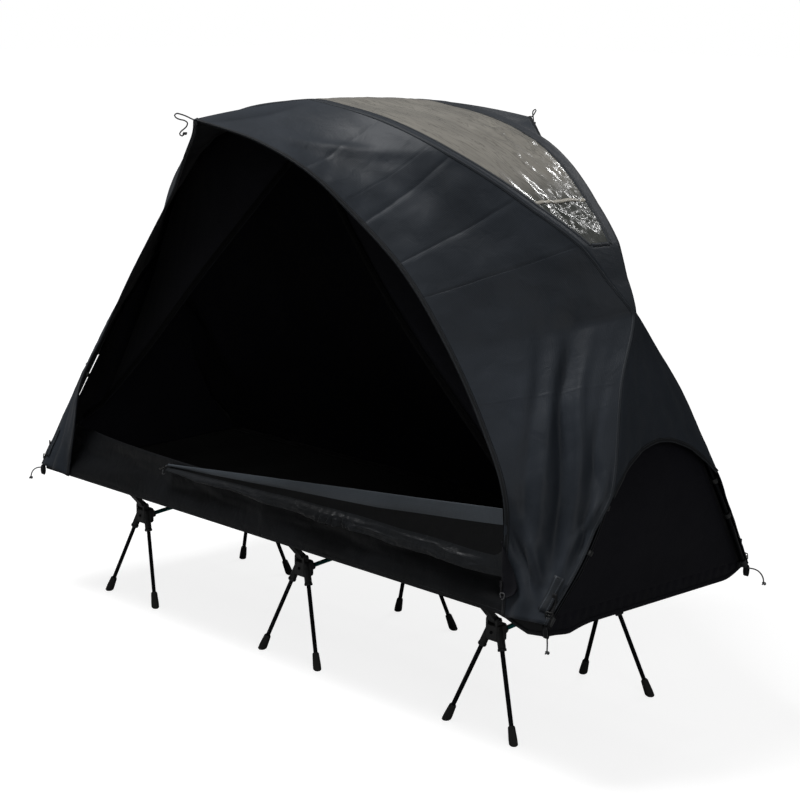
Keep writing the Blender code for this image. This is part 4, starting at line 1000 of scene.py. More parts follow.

# %% [markdown]
# ## The roof window
# A clear urethane film lies in the roof. It has been rolled up with the tent, so it is crumpled,
# and it glints wherever a crease turns to the light. A clear film alone would be black over a
# dark tent. The real one is hazy and dusty, and its warm grey on top is partly that haze and
# partly a painted reflection of the bright sky. The steeper lower end leaves that reflection out
# and is seen through, and thin darker lines along its crinkles are painted shade. Sharp crumples
# come from noise folded at zero.

# %% Film finish
def hazy_film_painted_sky():
    """Clear film: haze and a painted sky reflection on top, darker and clearer at its steep ends."""
    sockets = {"IOR": 1.5, "Transmission Weight": 0.12, "Specular IOR Level": 0.6}
    finish, tree = new_finish("clear_urethane_film", sockets)
    place = add(tree, "TexCoord", output="Object")
    from_middle = maths(tree, "ABSOLUTE", add(tree, "SeparateXYZ", {0: place}))
    steep = between(tree, from_middle, 0.0, 1.0, 0.56, 0.66)
    dust = noisy(tree, place, 9.0, 6.0)
    # Warm grey on top: partly haze and dust, partly a painted reflection of the bright sky.
    tone = mixed(tree, steep, mixed(tree, dust, "#7f7c75", "#a6a299"), "#434642")
    drawn_out = add(tree, "Mapping", {"Vector": place, "Scale": (7.0, 60.0, 7.0)})
    crinkle = noisy(tree, drawn_out, 1.0, 4.0, 0.8)
    from_line = maths(tree, "ABSOLUTE", maths(tree, "SUBTRACT", crinkle, 0.5))
    # Darker lines along the crinkles: painted shade in the film's creases.
    painted_crease_shade = mixed(tree, between(tree, from_line, 0.55, 0.0, 0.0, 0.03), tone, "#55534e")
    feed(tree, painted_crease_shade, between(tree, dust, 0.13, 0.28), bumped(tree, crinkle, 0.8, 0.6))
    return finish


film = hazy_film_painted_sky()
weld_sockets = {"Base Color": linear("#a7a399"), "Roughness": 0.3, "IOR": 1.5}
film_weld, _ = new_finish("welded_film_seam", weld_sockets)
print("film finishes made")

# %% Film
PANE_ROWS = np.linspace(0, WINDOW_END, 97)
PANE_COLUMNS = 44
PANE_TUCK = 0.004
PANE_DEPTH = 0.0006
CRUMPLE_LIMIT = 0.006
WELD_PLACE = 0.81


def crumpled(grid, size, depth, shift, stretch=SAME):
    """Sharp creases: noise folded at zero, drawn out along the axes with a low stretch."""
    values = [
        abs(noise.noise(Vector(point) / size + Vector((shift, 0, 0))))
        + 0.5 * abs(noise.noise(Vector(point) / size * 2.3 + Vector((0, shift, 0))))
        for point in (grid * stretch).reshape(-1, 3)
    ]
    return (0.5 - np.array(values).reshape(grid.shape[:2])) * depth


def window_pane():
    """The film as one grid from the left end of the window to the right."""
    edge = fly_edge(PANE_ROWS)
    front, rear = (window_half(side, edge, PANE_ROWS) + PANE_TUCK for side in SIDES)
    right = np.array([
        [roof_row(line, y) for y in np.linspace(-low, high, PANE_COLUMNS + 1)]
        for line, low, high in zip(edge, front, rear)
    ])
    grid = np.concatenate([right[:0:-1] * MIRROR_X, right])
    share = spread(PANE_COLUMNS + 1)
    down = np.abs(np.linspace(-1, 1, len(grid)))[:, None]
    rear_border = np.clip((share - 0.50) / 0.25, 0, 1) * bell(down, 0.52, 0.30)
    lower_end = bell(down, 0.86, 0.10)
    large = 0.5 + 0.5 * np.maximum(rear_border, lower_end)
    small = 0.04 + 0.96 * np.maximum(rear_border, lower_end * 0.8)
    height = crumpled(grid, 0.045, 0.006, 2.0, (0.28, 1, 0.28)) * large
    height = np.clip(height + crumpled(grid, 0.022, 0.009, 6.0) * small, -CRUMPLE_LIMIT, CRUMPLE_LIMIT)
    height = height * held(share, 0.08) * np.clip((1 - down) / 0.05, 0, 1)
    return grid + normals(grid) * (height - PANE_DEPTH)[..., None]


pane = window_pane()
window, window_area = sewn("roof_window_film", [drawn(pane)], [film], 0.0008)
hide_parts("roof_window")
weld_rows = [int(round((1 + side * WELD_PLACE) / 2 * (len(pane) - 1))) for side in SIDES]
weld_runs = [row_run(pane, row) for row in weld_rows]
weld = tape("film_weld_seams", weld_runs, 0.011, 0.0006, film_weld, lift=0.0012)

# %% [markdown]
# ## The inner tent
# A black inner tent hangs just inside the poles. Its front wall is cut away for the door, and a
# sill of smoother, coated cloth is left along the bottom. Its walls hang slack, so they belly a
# little and show soft creases. They are panels like the fly's, and a halving search finds where
# each of their rows meets the door's edge. Black tape faces that edge on both sides.

# %% Inner tent lines
POLE_GAP, ROOF_GAP = 0.013, 0.014
FOOT_SHARE = 0.93
DOOR_PEAK_DROP, DOOR_END_GAP, DOOR_EDGE_SAG = 0.088, 0.062, 0.020


def inner_edge(shares):
    """The inner tent's outer face along the front ridge and corner, just inside the poles."""
    base = pole_line(shares)
    rise = (base[:, 2] - POLE_FOOT[2]) / RIDGE_RISE
    x = base[:, 0] - POLE_GAP * np.clip(base[:, 0] / POLE_GAP / 2, 0, 1)
    y = -np.abs(base[:, 1]) * WALL_Y / POLE_FOOT[1]
    z = np.maximum(base[:, 2] - ROOF_GAP * np.clip(rise, 0, 1), SHOULDER_Z)
    return np.stack([x, y, z], axis=1)


def wall_foot(edge, shares):
    """Where each row of the inner tent's front wall meets its bottom hem."""
    crossing = inner_edge(np.array([0.0, CROSSING]))[1, 0] * FOOT_SHARE
    below = crossing + (WALL_X - crossing) * np.abs(edge[:, 1]) / WALL_Y
    x = np.where(shares <= CROSSING + 1e-6, edge[:, 0] * FOOT_SHARE, below)
    return np.stack([x, np.full(len(x), -WALL_Y), np.full(len(x), SKIRT_Z)], axis=1)


def door_height(x):
    """Height of the inner tent's door edge above a place along the bed."""
    peak = RIDGE_HEIGHT - DOOR_PEAK_DROP
    share = x / (WALL_X - DOOR_END_GAP)
    return peak + (SILL_Z - peak) * share - 4 * DOOR_EDGE_SAG * share * (1 - share)


def door_share(foot, top, sill):
    """How far up a row the door edge lies, found by halving between the sill and the top."""
    low, high = sill, 1.0
    start = foot + (top - foot) * sill
    if start[2] >= door_height(start[0]):
        return sill
    for _ in range(24):
        middle = (low + high) / 2
        point = foot + (top - foot) * middle
        low, high = (middle, high) if point[2] < door_height(point[0]) else (low, middle)
    return low


inner_line = inner_edge(plain_rows)
feet = wall_foot(inner_line, plain_rows)
shoulders = feet.copy()
shoulders[:, 2] = SHOULDER_Z
climb = np.maximum(inner_line[:, 2] - SHOULDER_Z, 1e-5)
sills = np.minimum((SILL_Z - SHOULDER_Z) / climb, 1)
doors = np.array([door_share(f, t, s) for f, t, s in zip(shoulders, inner_line, sills)])
sill_line = shoulders + (inner_line - shoulders) * sills[:, None]
door_line = shoulders + (inner_line - shoulders) * doors[:, None]
print("door edge over the middle:", round(door_height(0), 3), "m")

# %% Inner tent panels
SKIRT_DROOP = ((0.815, 0.840, 0.870, 0.905, 0.951), (0, 0.005, 0.015, 0.024, 0.018))
END_DROOP = ((0.195, 0.225, 0.265, 0.335, 0.355), (0, 0.003, 0.0105, 0.004, 0))
ROOF_COLUMNS = 24
SKIRT_COLUMNS = 48


def slack(grid, inward, depth, size, shift, reach=0.15, stretch=SAME):
    """Lets a panel belly inwards and pucker, with its edges held. It never bulges outwards."""
    share = spread(grid.shape[1])
    hold = held(share, reach) * held(spread(grid.shape[0]).T, 0.04)
    height = depth * 4 * share * (1 - share) + pucker_height(grid * stretch, size, depth * 1.2, shift)
    height = np.maximum(height + pucker_height(grid * stretch, size / 4, depth / 4, shift + 2), 0)
    return grid + np.asarray(inward) * (height * hold)[..., None]


def roof_and_end_walls():
    """The roof, which droops, and the end wall, which bellies in, as one panel."""
    grid = across(inner_line, inner_line * MIRROR_Y, ROOF_COLUMNS)
    down = plain_rows[:, None]
    droop = held(spread(ROOF_COLUMNS + 1), 0.2) * (0.006 + pucker_height(grid, 0.16, 0.006, 4.0))
    is_roof = np.clip((CROSSING - down) / 0.08, 0, 1)
    is_end = np.clip((down - CROSSING) / 0.08, 0, 1) * np.clip((1 - down) / 0.05, 0, 1)
    grid = grid + np.array((0, 0, -1)) * (droop * is_roof)[..., None]
    return grid + np.array((-1, 0, 0)) * (droop * is_end * 0.6)[..., None]


def end_skirt(foot):
    """The end wall's lower strip, whose front end starts at a foot of the front skirt."""
    corner = np.array([inner_line[-1], (WALL_X, -WALL_Y, SKIRT_Z)])
    grid = across(corner, corner * MIRROR_Y, SKIRT_COLUMNS)
    y = grid[1, :, 1]
    scallop = held(spread(SKIRT_COLUMNS + 1)[0], 0.10)
    low = SKIRT_Z + (END_SKIRT_Z - SKIRT_Z) * np.sin(scallop * math.pi / 2)
    if foot[2] < SKIRT_Z:
        low = np.where(y < 0, np.minimum(low, foot[2]) - np.interp(-y, *END_DROOP), low)
    grid[1, :, 2] = low
    return grid


sill_front = slack(across(shoulders, sill_line, 16), (0, 0.6, 0), 0.012, 0.06, 1.0, 0.3, (0.2, 1, 1))
wall_front = slack(across(door_line, inner_line, 10), (0, 1, 0), 0.004, 0.12, 2.0)
wall_rear = slack(across(shoulders, inner_line, 20) * MIRROR_Y, (0, -1, 0), 0.010, 0.16, 3.0)
rear_skirt = across(feet, shoulders, 4) * MIRROR_Y
drooping = feet - np.array((0, 0, 1)) * np.interp(feet[:, :1], *SKIRT_DROOP)
right_end_skirt, left_end_skirt = end_skirt(drooping[-1]), end_skirt(feet[-1])
INNER, SILL = 0, 1
inner_panels = [
    # The corner patch of black inner cloth is painted shade.
    (drawn(corner_shade_patch), INNER),
    (drawn(across(drooping, shoulders, 4)), SILL),
    (drawn(across(feet, shoulders, 4) * MIRROR_X), SILL),
    (drawn(right_end_skirt), INNER),
    (drawn(left_end_skirt * MIRROR_X), INNER),
]
for grid in (rear_skirt, sill_front, wall_front, wall_rear, roof_and_end_walls()):
    slot = SILL if grid is sill_front else INNER
    inner_panels += [(drawn(grid * side), slot) for side in (SAME, MIRROR_X)]
inner, inner_area = sewn(
    "inner_tent_cloth", inner_panels, [inner_taffeta, sill_taffeta], TENT_CLOTH, side=-1
)
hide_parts("inner_tent")

# %% Inner tent tapes
FACING_INSET = 0.012
HEM_RISE = (0, 0, 0.006)
open_rows = (doors > sills + 0.03) & (doors < 0.97)
door_runs = []
for side in (MIRROR_X, SAME):
    shown = drawn(wall_front * side)
    spine = shown[:, 0] + unit(shown[:, 1] - shown[:, 0] + 1e-9) * FACING_INSET
    door_runs.append(facing_run(spine[open_rows], (0, -1, 0.25)))
sill_runs = [facing_run(drawn(line) + HEM_RISE, (0, -1, 0)) for line in (feet * MIRROR_X, drooping)]
end_runs = [
    facing_run(drawn(skirt[1] * side) + HEM_RISE, (side[0], 0, 0))
    for side, skirt in ((MIRROR_X, left_end_skirt), (SAME, right_end_skirt))
]
inner_tapes = [
    tape("door_edge_facing", door_runs, 0.018, 0.0012, black_tape, lift=0.0015),
    tape("door_edge_facing_inside", turned_over(door_runs), 0.018, 0.0012, black_tape, lift=TENT_CLOTH),
    tape("skirt_hem", sill_runs, 0.009, 0.0006, sill_taffeta, lift=0.0004),
    tape("end_wall_hem", end_runs, 0.010, 0.0006, inner_taffeta, lift=0.0004),
]
print(len(inner_tapes), "tapes sewn on the inner tent")

# %% [markdown]
# ## The door let down
# The inner door is unzipped and lies along the sill. Its upper edge is turned over as a smooth
# band that catches the light, drawn in a lighter copy of the cloth as a painted highlight. The
# cloth under it lies in shadow, drawn in the black lining finish as painted shade, and the rest
# is gathered along the bottom in fine lengthwise folds, with one tighter bunch. The piece is a
# loft: one closed outline, carried from the toggle on the left to the hem on the right.

# %% Outline of the let-down door
LET_DOWN_LEFT = 0.392
OUTLINE_STEPS = 48
TOP_LEFT, TOP_RIGHT = 0.101, 0.222
FOOT_LEFT, FOOT_RIGHT = 0.082, 0.070
BUNCH = 0.57
hem_down = hem_line(KEY_ROWS[::-1])
lean = (WALL_Y - np.abs(inner_line[:, 1])) / (inner_line[:, 2] - SHOULDER_Z + 1e-5)
left_lean = np.interp(LET_DOWN_LEFT, feet[:, 0], lean)


def pleat(share):
    """The depth of the small pleats at a place along the door, in metres."""
    bunch = bell(share, BUNCH, 0.045)
    place = 40 * share + 1.6 * math.sin(9 * share) + 0.8 * math.sin(23 * share)
    coarse = 0.0006 * math.sin(place) + 0.0004 * math.sin(2.3 * place + 1.0)
    fine = 0.0008 * math.sin(5.1 * place) + 0.0006 * math.sin(8.3 * place + 0.7)
    return coarse * (1 + 4 * bunch) + fine * (0.3 + 4 * bunch)


def door_outline(share, top, foot, band, gather):
    """The door's cut at a share of its length, as distances out and heights over the rail."""
    fat = 0.011 + 0.003 * math.sin(5 * math.pi * share)
    corners = np.array((
        (0, top - 0.001), (0.003, top), (0.0058, top - band * 0.3), (0.0056, top - band * 0.8),
        (0.0040, top - band), (0.0028, top - band - gather / 4), (0.0026, foot + gather + 0.004),
        (fat * 0.8, foot + gather * 0.8), (fat, foot + gather / 2), (fat * 0.75, foot + 0.001),
        (0.001, foot + gather / 4),
    ))
    last = len(corners) - 1
    steps = np.linspace(0, last, OUTLINE_STEPS + 1)
    return smooth_curve(corners, np.interp(steps, np.arange(last + 1), chord_shares(corners)))


def door_ring(share):
    """One ring of the loft, and how much of the gathers each of its points takes."""
    top = TOP_LEFT + (TOP_RIGHT - TOP_LEFT) * share
    foot = FOOT_RIGHT + (FOOT_LEFT - FOOT_RIGHT) * (1 - share)
    tall = top - foot
    band = min(0.036, tall / 3)
    tuck = min((1 - share) * 8, 1)
    ring, gathers = [], []
    for k, (out, up) in enumerate(door_outline(share, top, foot, band, min(0.030, tall / 3))):
        depth = np.clip((top - band - up) / max(tall - band, 0.01), 0, 1)
        gathered = min(max(depth * 2.2 - 0.9, 0), 1) * (0 < k < OUTLINE_STEPS)
        if 0 < k < OUTLINE_STEPS:
            soft = 0.0011 * math.sin(17 * share + 0.2 * k) * (1 - depth)
            out = max(out + pleat(share + 0.03 * k / OUTLINE_STEPS) * gathered + soft, 0.0014)
        z = RAIL_HEIGHT + up + 0.002 * depth * math.sin(31 * share + 1.0)
        left_y = -WALL_Y + (z - SHOULDER_Z) * left_lean - 0.003
        right_x, right_y = (np.interp(z, hem_down[:, 2], hem_down[:, axis]) for axis in (0, 1))
        proud = out * tuck + min(out, FLY_CLOTH / 2) * (1 - tuck)
        x = -LET_DOWN_LEFT + (right_x - 0.0006 + LET_DOWN_LEFT) * share
        ring.append((x, left_y + (right_y - left_y) * share - proud, z))
        gathers.append(gathered * tuck)
    return ring, gathers


print("the door's top edge rises from", TOP_LEFT, "to", TOP_RIGHT, "m over the rails")

# %% Loft of the let-down door
LET_DOWN_STEPS = 280
GATHERS, BAND, SHADOW = 0, 1, 2
door_shares = np.linspace(0, 1, LET_DOWN_STEPS + 1)
rings, gathers = (np.array(part) for part in zip(*[door_ring(share) for share in door_shares]))
bunched = bell(door_shares, BUNCH, 0.030)[:, None]
lengthwise = crumpled(rings, 0.016, 0.011, 4.0, (0.14, 1, 1))
lengthwise = lengthwise + crumpled(rings, 0.014, 0.016, 9.0) * bunched
rings[..., 1] -= np.maximum(lengthwise, 0) * gathers
closed = np.concatenate([rings, rings[:, :1]], axis=1)
band_end, gather_start = OUTLINE_STEPS * 4 // 10, OUTLINE_STEPS * 6 // 10
# The band's lighter finish is a painted highlight, and the black lining finish on the cloth under it is
# painted shade.
let_down, let_down_area = sewn(
    "front_door_bundle",
    [
        (closed[:, : band_end + 1], BAND),
        (closed[:, band_end : gather_start + 1], SHADOW),
        (closed[:, gather_start:], GATHERS),
    ],
    [gathered_taffeta, painted_highlight_taffeta, blackout_coating],
    away_from=(0.2, 0.2, 0.2),
)
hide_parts("front_door_let_down")

# %% [markdown]
# ## The bed sheet
# The bed is one width of heavy oxford cloth. It sags a little between the rails, and along each
# side it wraps a rail in a sewn sleeve, cut away where the levers hook on. One profile is drawn
# across the bed and carried along it, and the sleeve's faces are left out at each cut-away.

# %% Bed sheet
UNIT_SPACING = 0.681
UNIT_SHIFT = -0.016
UNIT_PLACES = {
    name: UNIT_SHIFT + way * UNIT_SPACING for name, way in (("left", -1), ("middle", 0), ("right", 1))
}
NOTCH_REACH = 0.0145
FLAT_COLUMNS = 20
middle_radius = SLEEVE_BORE + SHEET_THICKNESS / 2
sleeve_angles = math.pi / 2 + np.linspace(0, math.radians(240), 13)[1:]
bed_ys = [*np.linspace(0, RAIL_Y - 0.0225, FLAT_COLUMNS - 1), RAIL_Y - 0.011, RAIL_Y]
notch_rows = [x + side * NOTCH_REACH for x in UNIT_PLACES.values() for side in SIDES]
bed_rows = sorted({*np.round(np.linspace(-BED_END, BED_END, 97), 5), *notch_rows})


def bed_profile(x):
    """The sheet's middle line from the bed's centre out over the front rail and round it."""
    sag = SHEET_SAG + 0.0025 * math.sin(9 * x + 1.0) + 0.0012 * math.sin(31 * x)
    line = [(x, -y, middle_radius - sag * (1 - (y / RAIL_Y) ** 2) ** 1.5) for y in bed_ys]
    circle = [(math.cos(a) * middle_radius, math.sin(a) * middle_radius) for a in sleeve_angles]
    line += [(x, -RAIL_Y + out, up) for out, up in circle]
    return np.array(line) + (0, 0, RAIL_HEIGHT)


bed_grid = np.array([bed_profile(x) for x in bed_rows])
bed_panels = []
for side in (SAME, MIRROR_Y):
    bed_panels.append(bed_grid[:, :FLAT_COLUMNS] * side)
    for i, (left, right) in enumerate(zip(bed_rows, bed_rows[1:])):
        if min(abs((left + right) / 2 - x) for x in UNIT_PLACES.values()) > NOTCH_REACH:
            bed_panels.append(bed_grid[i : i + 2, FLAT_COLUMNS - 1 :] * side)
bed, bed_area = sewn("bed_cloth", bed_panels, [bed_oxford], SHEET_THICKNESS, side=0, away_from=(0, 0, 0))
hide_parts("bed_sheet")
seam_xs = np.linspace(-BED_END + 0.004, BED_END - 0.004, 60)
seam_z = RAIL_HEIGHT + middle_radius - 0.0006
seam_y = RAIL_Y - 0.032
seam_runs = [
    facing_run(np.array([(x, side * seam_y, seam_z) for x in seam_xs]), (0, 0, 1)) for side in SIDES
]
bed_seam = tape("sleeve_seams", seam_runs, 0.012, 0.0009, webbing, lift=0.0002)

# %% [markdown]
# ## Finishes for the hard parts
# The hubs, levers, legs, feet, cross poles, cups and sliders already have their true shapes, so
# they only get their finishes. The two crossing tent poles are drawn again further down.

# %% Assign finishes
FINISHES = {
    "hub_": moulded_nylon,
    "lever_": moulded_nylon,
    "corner_cup_": moulded_nylon,
    "cross_pole_": teal_tube,
    "leg_": black_tube,
    "foot_": foot_rubber,
    "rail_": black_tube,
    "ridge_pole": grey_tube,
    "zip_slider_": nickel,
}
for start, finish in FINISHES.items():
    for name, item in NODES.items():
        if name.startswith(start):
            for slot in item.material_slots:
                slot.material = finish
    print(start, "gets", finish.name)

# %% [markdown]
# ## Small hardware
# The lever's pin is headed over at both ears, each leg passes a collar where it leaves its
# socket, and each hub is held together by a screw. These are turned parts: a short profile of
# radius and height, in millimetres, spun round an axis.

# %% Turned parts
def spin(shape, profile, centre, turn, sides):
    """Adds a solid of revolution: rings of a radius and height, turned and moved to a centre."""
    circle = [(math.cos(a), math.sin(a)) for a in np.linspace(0, 2 * math.pi, sides, endpoint=False)]
    rings = [
        [shape.verts.new(centre + turn @ Vector((r * x, r * y, height))) for x, y in circle]
        for r, height in profile
    ]
    for low, high in zip(rings, rings[1:]):
        for i in range(sides):
            j = (i + 1) % sides
            shape.faces.new((low[i], low[j], high[j], high[i])).smooth = True
    shape.faces.new(rings[0][::-1])
    shape.faces.new(rings[-1])


def towards(direction):
    """The turn that carries the upward axis to a direction."""
    return Vector((0, 0, 1)).rotation_difference(Vector(direction)).to_matrix()


def both_ways(half):
    """A whole profile from its upper half."""
    return [(radius, -height) for radius, height in half[::-1]] + list(half)


def turned(name, profile_mm, places, finish, body="frame", sides=24):
    """Turned parts of one profile, at each place and direction."""
    shape = bmesh.new()
    for centre, direction in places:
        spin(shape, np.array(profile_mm) * MM, Vector(centre), towards(direction), sides)
    item = finished(name, shape, [finish], body)
    item.data.set_sharp_from_angle(angle=math.radians(40))
    return item


print("turned parts are ready to spin")

# %% Pins, screws and collars
HUB_STANCE, HUB_HEIGHT = 0.195, 0.238
HUB_FOOT = HUB_HEIGHT - 0.022 - 0.012
PIN_OUT, PIN_UP = 0.009, 0.0292
SCREW_OUT, SCREW_DOWN = 0.018, 0.001
EAR_END = 0.021 / 2 + 0.0007 + 0.007
LEG_FOOT, LEG_TOP = (0.110, 0.245, 0), (0.010, HUB_STANCE + 0.003, HUB_HEIGHT + 0.020)
DOME_MM = ((5.2, 0), (5.2, 0.6), (4.5, 1.6), (2.8, 2.3), (0.8, 2.6))
SCREW_MM = ((4.2, -0.5), (4.2, 1.2), (3.7, 1.8), (2.2, 1.8), (2.1, 0.6), (0.6, 0.6))
COLLAR_MM = ((6.0, -1.0), (9.8, -0.8), (10.6, 0.6), (10.6, 4.6), (9.8, 5.8), (6.0, 6.2))
pin_y, pin_z = HUB_STANCE + PIN_OUT, HUB_HEIGHT + PIN_UP
screw_y, screw_z = HUB_STANCE + SCREW_OUT, HUB_HEIGHT - SCREW_DOWN
pins, screws = [], []
for x in UNIT_PLACES.values():
    for side in SIDES:
        pins += [((x + way * EAR_END, side * pin_y, pin_z), (way, 0, 0)) for way in SIDES]
        screws.append(((x, side * screw_y, screw_z), (0, side, 0)))
turned("hinge_pin_heads", DOME_MM, pins, nickel)
turned("hub_screws", SCREW_MM, screws, black_tube)
for place_name, x in UNIT_PLACES.items():
    for side_name, side in zip(("front", "rear"), SIDES):
        for lean_name, way in zip(("left", "right"), SIDES):
            tag = "leg_%s_%s_leaning_%s" % (place_name, side_name, lean_name)
            foot, top = (Vector((x + way * out, side * y, z)) for out, y, z in (LEG_FOOT, LEG_TOP))
            downward = (foot - top).normalized()
            mouth = top + downward * ((top.z - HUB_FOOT) / -downward.z)
            turned("collar_" + tag, COLLAR_MM, [(mouth, downward)], moulded_nylon, body=tag)
print(len(pins), "pin heads,", len(screws), "screws and 12 leg collars")

# %% [markdown]
# ## Poles, ferrules, clips and corner webbing
# The two crossing poles are drawn again as smooth tubes on the tent's own line. They come apart,
# and a slightly thicker sleeve covers each joint. Small clips on straps hold the inner tent to
# their bare lower ends. At each corner the fly ends in a patch of doubled cloth with a webbing tab,
# which runs through a ladder buckle down to the corner cup.

# %% Pole fittings
FERRULE_MM = both_ways(((5.8, 14), (5.6, 15.8), (4.8, 16)))
CLIP_MM = both_ways(((8.4, 4), (7.8, 5.8), (4.9, 6)))
FERRULE_SHARES = (0.16, 0.44, 0.72, 0.93)
CLIP_SHARES = (0.84, 0.90)
POLE_STEPS = 90
POLES = (("tent_pole_front", 1), ("tent_pole_rear", -1))


def pole_point(share, over, x_side):
    """A place on a long pole's centre line, and the way the pole runs there. Over is 1 for the
    front pole, which passes over the other one, and -1 for the rear pole, its mirror image."""
    near = np.array([share - 0.004, share, share + 0.004])
    line = pole_line(near)
    line = line + outward(line) * (over * crossing_lift(near))[:, None]
    line = drawn(line * (x_side, over, 1))
    return line[1], unit(line[2] - line[0])


ferrules, clips, clip_runs = [], [], []
for name, over in POLES:
    shares = np.linspace(0, 1, POLE_STEPS)
    left = [pole_point(share, over, -1)[0] for share in shares[:0:-1]]
    right = [pole_point(share, over, 1)[0] for share in shares]
    tube = strand(name + "_tube", np.array(left + right), TENT_POLE_RADIUS, black_tube)
    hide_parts(name)
    for x_side in SIDES:
        ferrules += [pole_point(share, over, x_side) for share in FERRULE_SHARES]
        for share in CLIP_SHARES:
            centre, along = pole_point(share, over, x_side)
            clips.append((centre, along))
            y_side = np.sign(centre[1])
            to_wall = np.array((-0.016 * x_side, -0.002 * y_side, -0.006))
            strap = centre + to_wall * np.linspace(0.35, 1, 5)[:, None]
            clip_runs.append(facing_run(strap, (0, y_side, 0.35)))
turned("pole_ferrules", FERRULE_MM, ferrules, black_tube)
turned("wall_clips", CLIP_MM, clips, acetal, sides=16)
tape("clip_straps", clip_runs, 0.010, 0.0012, webbing)
print(len(ferrules), "ferrules and", len(clips), "clips")

# %% Corner patches, tabs and buckles
BUCKLE_WIDTH, BUCKLE_HEIGHT, BUCKLE_BAR = 0.017, 0.013, 0.0014
BUCKLE_SIDES = 10
TAB_STEPS = 12
PATCH_COLUMNS = {VISOR_COLUMNS: 6, REAR_COLUMNS: 4}


def ladder_buckles(name, places, finish):
    """Ladder buckles: a frame with a middle bar, each at a centre, facing one way and along another."""
    w, h = BUCKLE_WIDTH / 2, BUCKLE_HEIGHT / 2
    bars = [((-w, y), (w, y)) for y in (-h, h)]
    bars += [((x, -h), (x, h)) for x in (-w, w)] + [((-w, 0), (w, 0))]
    shape = bmesh.new()
    for centre, facing, along in places:
        facing = Vector(facing).normalized()
        along = (Vector(along) - facing * facing.dot(Vector(along))).normalized()
        basis = Matrix((facing.cross(along), along, facing)).transposed()
        for start, stop in bars:
            start, bar = Vector((*start, 0)), Vector((*stop, 0)) - Vector((*start, 0))
            thin, thick, long = BUCKLE_BAR * 0.6, BUCKLE_BAR, bar.length
            profile = ((thin, 0), (thick, 0.08 * long), (thick, 0.92 * long), (thin, long))
            spin(shape, profile, Vector(centre) + basis @ start, basis @ towards(bar), BUCKLE_SIDES)
    return finished(name, shape, [finish])


patch_runs, tab_runs, loop_runs, buckles = [], [], [], []
corner_rows = [row for row, share in enumerate(FLY_ROWS) if 0.93 <= share <= 0.985]
tab_row = row_at(0.965)
loop_angles = np.linspace(0.5 * math.pi, 2.5 * math.pi, 17)
for grid in visors:
    shown = drawn(grid)
    facing = normals(shown)
    column = PATCH_COLUMNS[grid.shape[1] - 1]
    patch = shown[corner_rows, column]
    patch_runs.append((patch, facing[corner_rows, column]))
    x_side, y_side, _ = np.sign(patch[-1])
    way = (x_side * 0.3, y_side, 0.1)
    cup = np.array((x_side * POLE_FOOT[0], y_side * (POLE_FOOT[1] + 0.010), POLE_FOOT[2] - 0.006))
    start = shown[tab_row, 3] + facing[tab_row, 3] * 0.002
    halfway = (start + cup) / 2 + (x_side * 0.002, y_side * 0.003, 0)
    tab = smooth_curve([start + (0, 0, 0.016), start, halfway, cup], np.linspace(0, 1, TAB_STEPS))
    tab_runs.append(facing_run(tab, way))
    buckles.append((tab[7] + (0, y_side * 0.003, 0), way, tab[-1] - tab[0]))
    ring = np.stack([0 * loop_angles, np.cos(loop_angles), np.sin(loop_angles)], axis=1)
    loop_runs.append((cup + ring * (0, 0.004, 0.013) - (0, 0, 0.011), ring))
tape("corner_patches", patch_runs, 0.026, 0.0012, seam_tape, lift=FLY_CLOTH * 2)
tape("corner_tabs", tab_runs + loop_runs, 0.013, 0.0013, webbing)
ladder_buckles("ladder_buckles", buckles, acetal)
print(len(patch_runs), "corner patches and", len(buckles), "buckles")

# %% [markdown]
# ## Zip, toggle and pull cord
# The front opening zips along the arched hem. Its coil runs up the hem's back edge, above the
# slider. A toggle and a loop of cord hold the let-down door at its left end, and another short
# loop of cord hangs from the slider for a gloved hand.

# %% Zip, toggle and loops
LOOPS_MM = {
    "toggle_loop": (
        (0, 2, 4), (4, -8, 2), (6, -13, -2), (4, -14, -10), (0, -10, -16), (-3, -3, -18)
    ),
    "slider_pull_loop": (
        (0, 0, 0), (4, -3, -6), (12, -6, -10), (18, -6, -4), (16, -4, 3), (8, -2, 3), (1, -0.5, 1)
    ),
}
TOGGLE_MM = both_ways(((3.0, 3), (4.0, 12), (3.6, 14.5), (2.2, 15)))


def small_loop(name, start, steps, radius, body="frame"):
    """A short loop of tying cord that starts at a place."""
    path = smooth_curve(np.array(LOOPS_MM[name]) * MM, np.linspace(0, 1, steps))
    return strand(name, start + path, radius, tip_braid, body)


tape("front_zip_coil", turned_over(hem_runs), 0.006, 0.0014, zip_coil, lift=0.0012)
toggle_place = np.array((-LET_DOWN_LEFT - 0.004, -WALL_Y + 0.004, RAIL_HEIGHT + 0.092))
turned("door_toggle", TOGGLE_MM, [(toggle_place + (0, -0.012, 0), (0.9, -0.2, 0.35))], acetal)
small_loop("toggle_loop", toggle_place, 20, 0.0013)
slider_low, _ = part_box("zip_slider_front")
pull_end = np.array(slider_low) + (0.004, 0.001, 0.003)
small_loop("slider_pull_loop", pull_end, 28, 0.0012, "zip_slider_front")
print("zip coil, toggle and", len(LOOPS_MM), "loops made")

# %% [markdown]
# ## Floor and light
# The cot stands in a bare white studio. The floor is pale and a little luminous to the camera
# alone, more so further out, so it reads as white paper and still keeps a soft shadow. The world
# gives even light from all round. A broad lamp hangs high over the front and a second fills the
# right side. Three small lamps behind are placed so that only the film's creases mirror them.

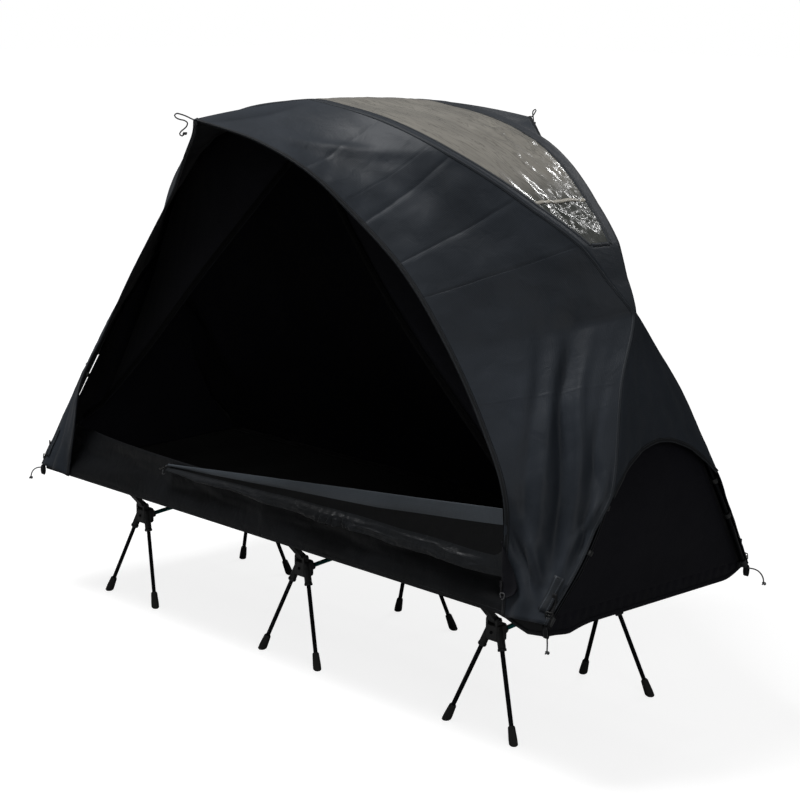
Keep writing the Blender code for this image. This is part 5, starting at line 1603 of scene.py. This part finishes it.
# %% Floor
FLOOR_REACH = 40
corners = [(x * FLOOR_REACH, y * FLOOR_REACH, 0) for x, y in ((-1, -1), (1, -1), (1, 1), (-1, 1))]
floor_mesh = bpy.data.meshes.new("studio_floor")
floor_mesh.from_pydata(corners, [], [(0, 1, 2, 3)])
paper, tree = new_finish("white_backdrop_paper", {"Base Color": linear("#a8a8a8"), "Roughness": 0.9})
reach = add(tree, "VectorMath", {0: add(tree, "TexCoord", output="Object")}, "Value", operation="LENGTH")
paling = between(tree, reach, 0.84, 1.0, 1.2, 5.0)
strength = maths(tree, "MULTIPLY", add(tree, "LightPath", output="Is Camera Ray"), paling)
shader = tree.nodes["Principled BSDF"].outputs[0]
both = add(tree, "AddShader", {0: shader, 1: add(tree, "Emission", {"Strength": strength})})
tree.links.new(both, tree.nodes["Material Output"].inputs["Surface"])
floor_mesh.materials.append(paper)
floor = bpy.data.objects.new("studio_floor", floor_mesh)
bpy.context.scene.collection.objects.link(floor)
print("floor reaches", FLOOR_REACH, "m each way")

# %% World and lamps
LAMPS = (
    ("key", (-0.9, -1.15, 4.7), (0, 0, 0.8), 1.6, 144),
    ("film_light", (0.5, 2.6, 4.0), (0.4, 0, 1.3), 0.25, 6),
    ("crown_light", (0.0, 3.5, 3.3), (0.45, 0.1, 1.35), 0.2, 5),
    ("border_light", (-0.5, 2.6, 2.7), (0.48, 0.09, 1.31), 0.15, 3),
    ("right_fill", (4.2, -2.2, 2.4), (0.6, 0, 0.7), 1.6, 29),
)

world = bpy.data.worlds.new("studio")
bpy.context.scene.world = world
world.use_nodes = True
tree = world.node_tree
rays = add(tree, "LightPath", output="Is Camera Ray")
seen = maths(tree, "MAXIMUM", rays, rays.node.outputs["Is Transmission Ray"])
background = tree.nodes["Background"].inputs
background["Color"].default_value = (1, 1, 1, 1)
tree.links.new(between(tree, seen, 0.11, 1.0), background["Strength"])

for name, place, target, size, power in LAMPS:
    light = bpy.data.lights.new(name, "AREA")
    light.shape = "SQUARE"
    light.size = size
    light.energy = power
    item = bpy.data.objects.new(name, light)
    item.location = place
    item.rotation_euler = (Vector(target) - Vector(place)).to_track_quat("-Z", "Y").to_euler()
    bpy.context.scene.collection.objects.link(item)
print("world and", len(LAMPS), "lamps set")

# %% [markdown]
# ## View transform
# The view transform is Standard, so colours render as they are written.

# %% Finish
bpy.context.scene.view_settings.view_transform = "Standard"
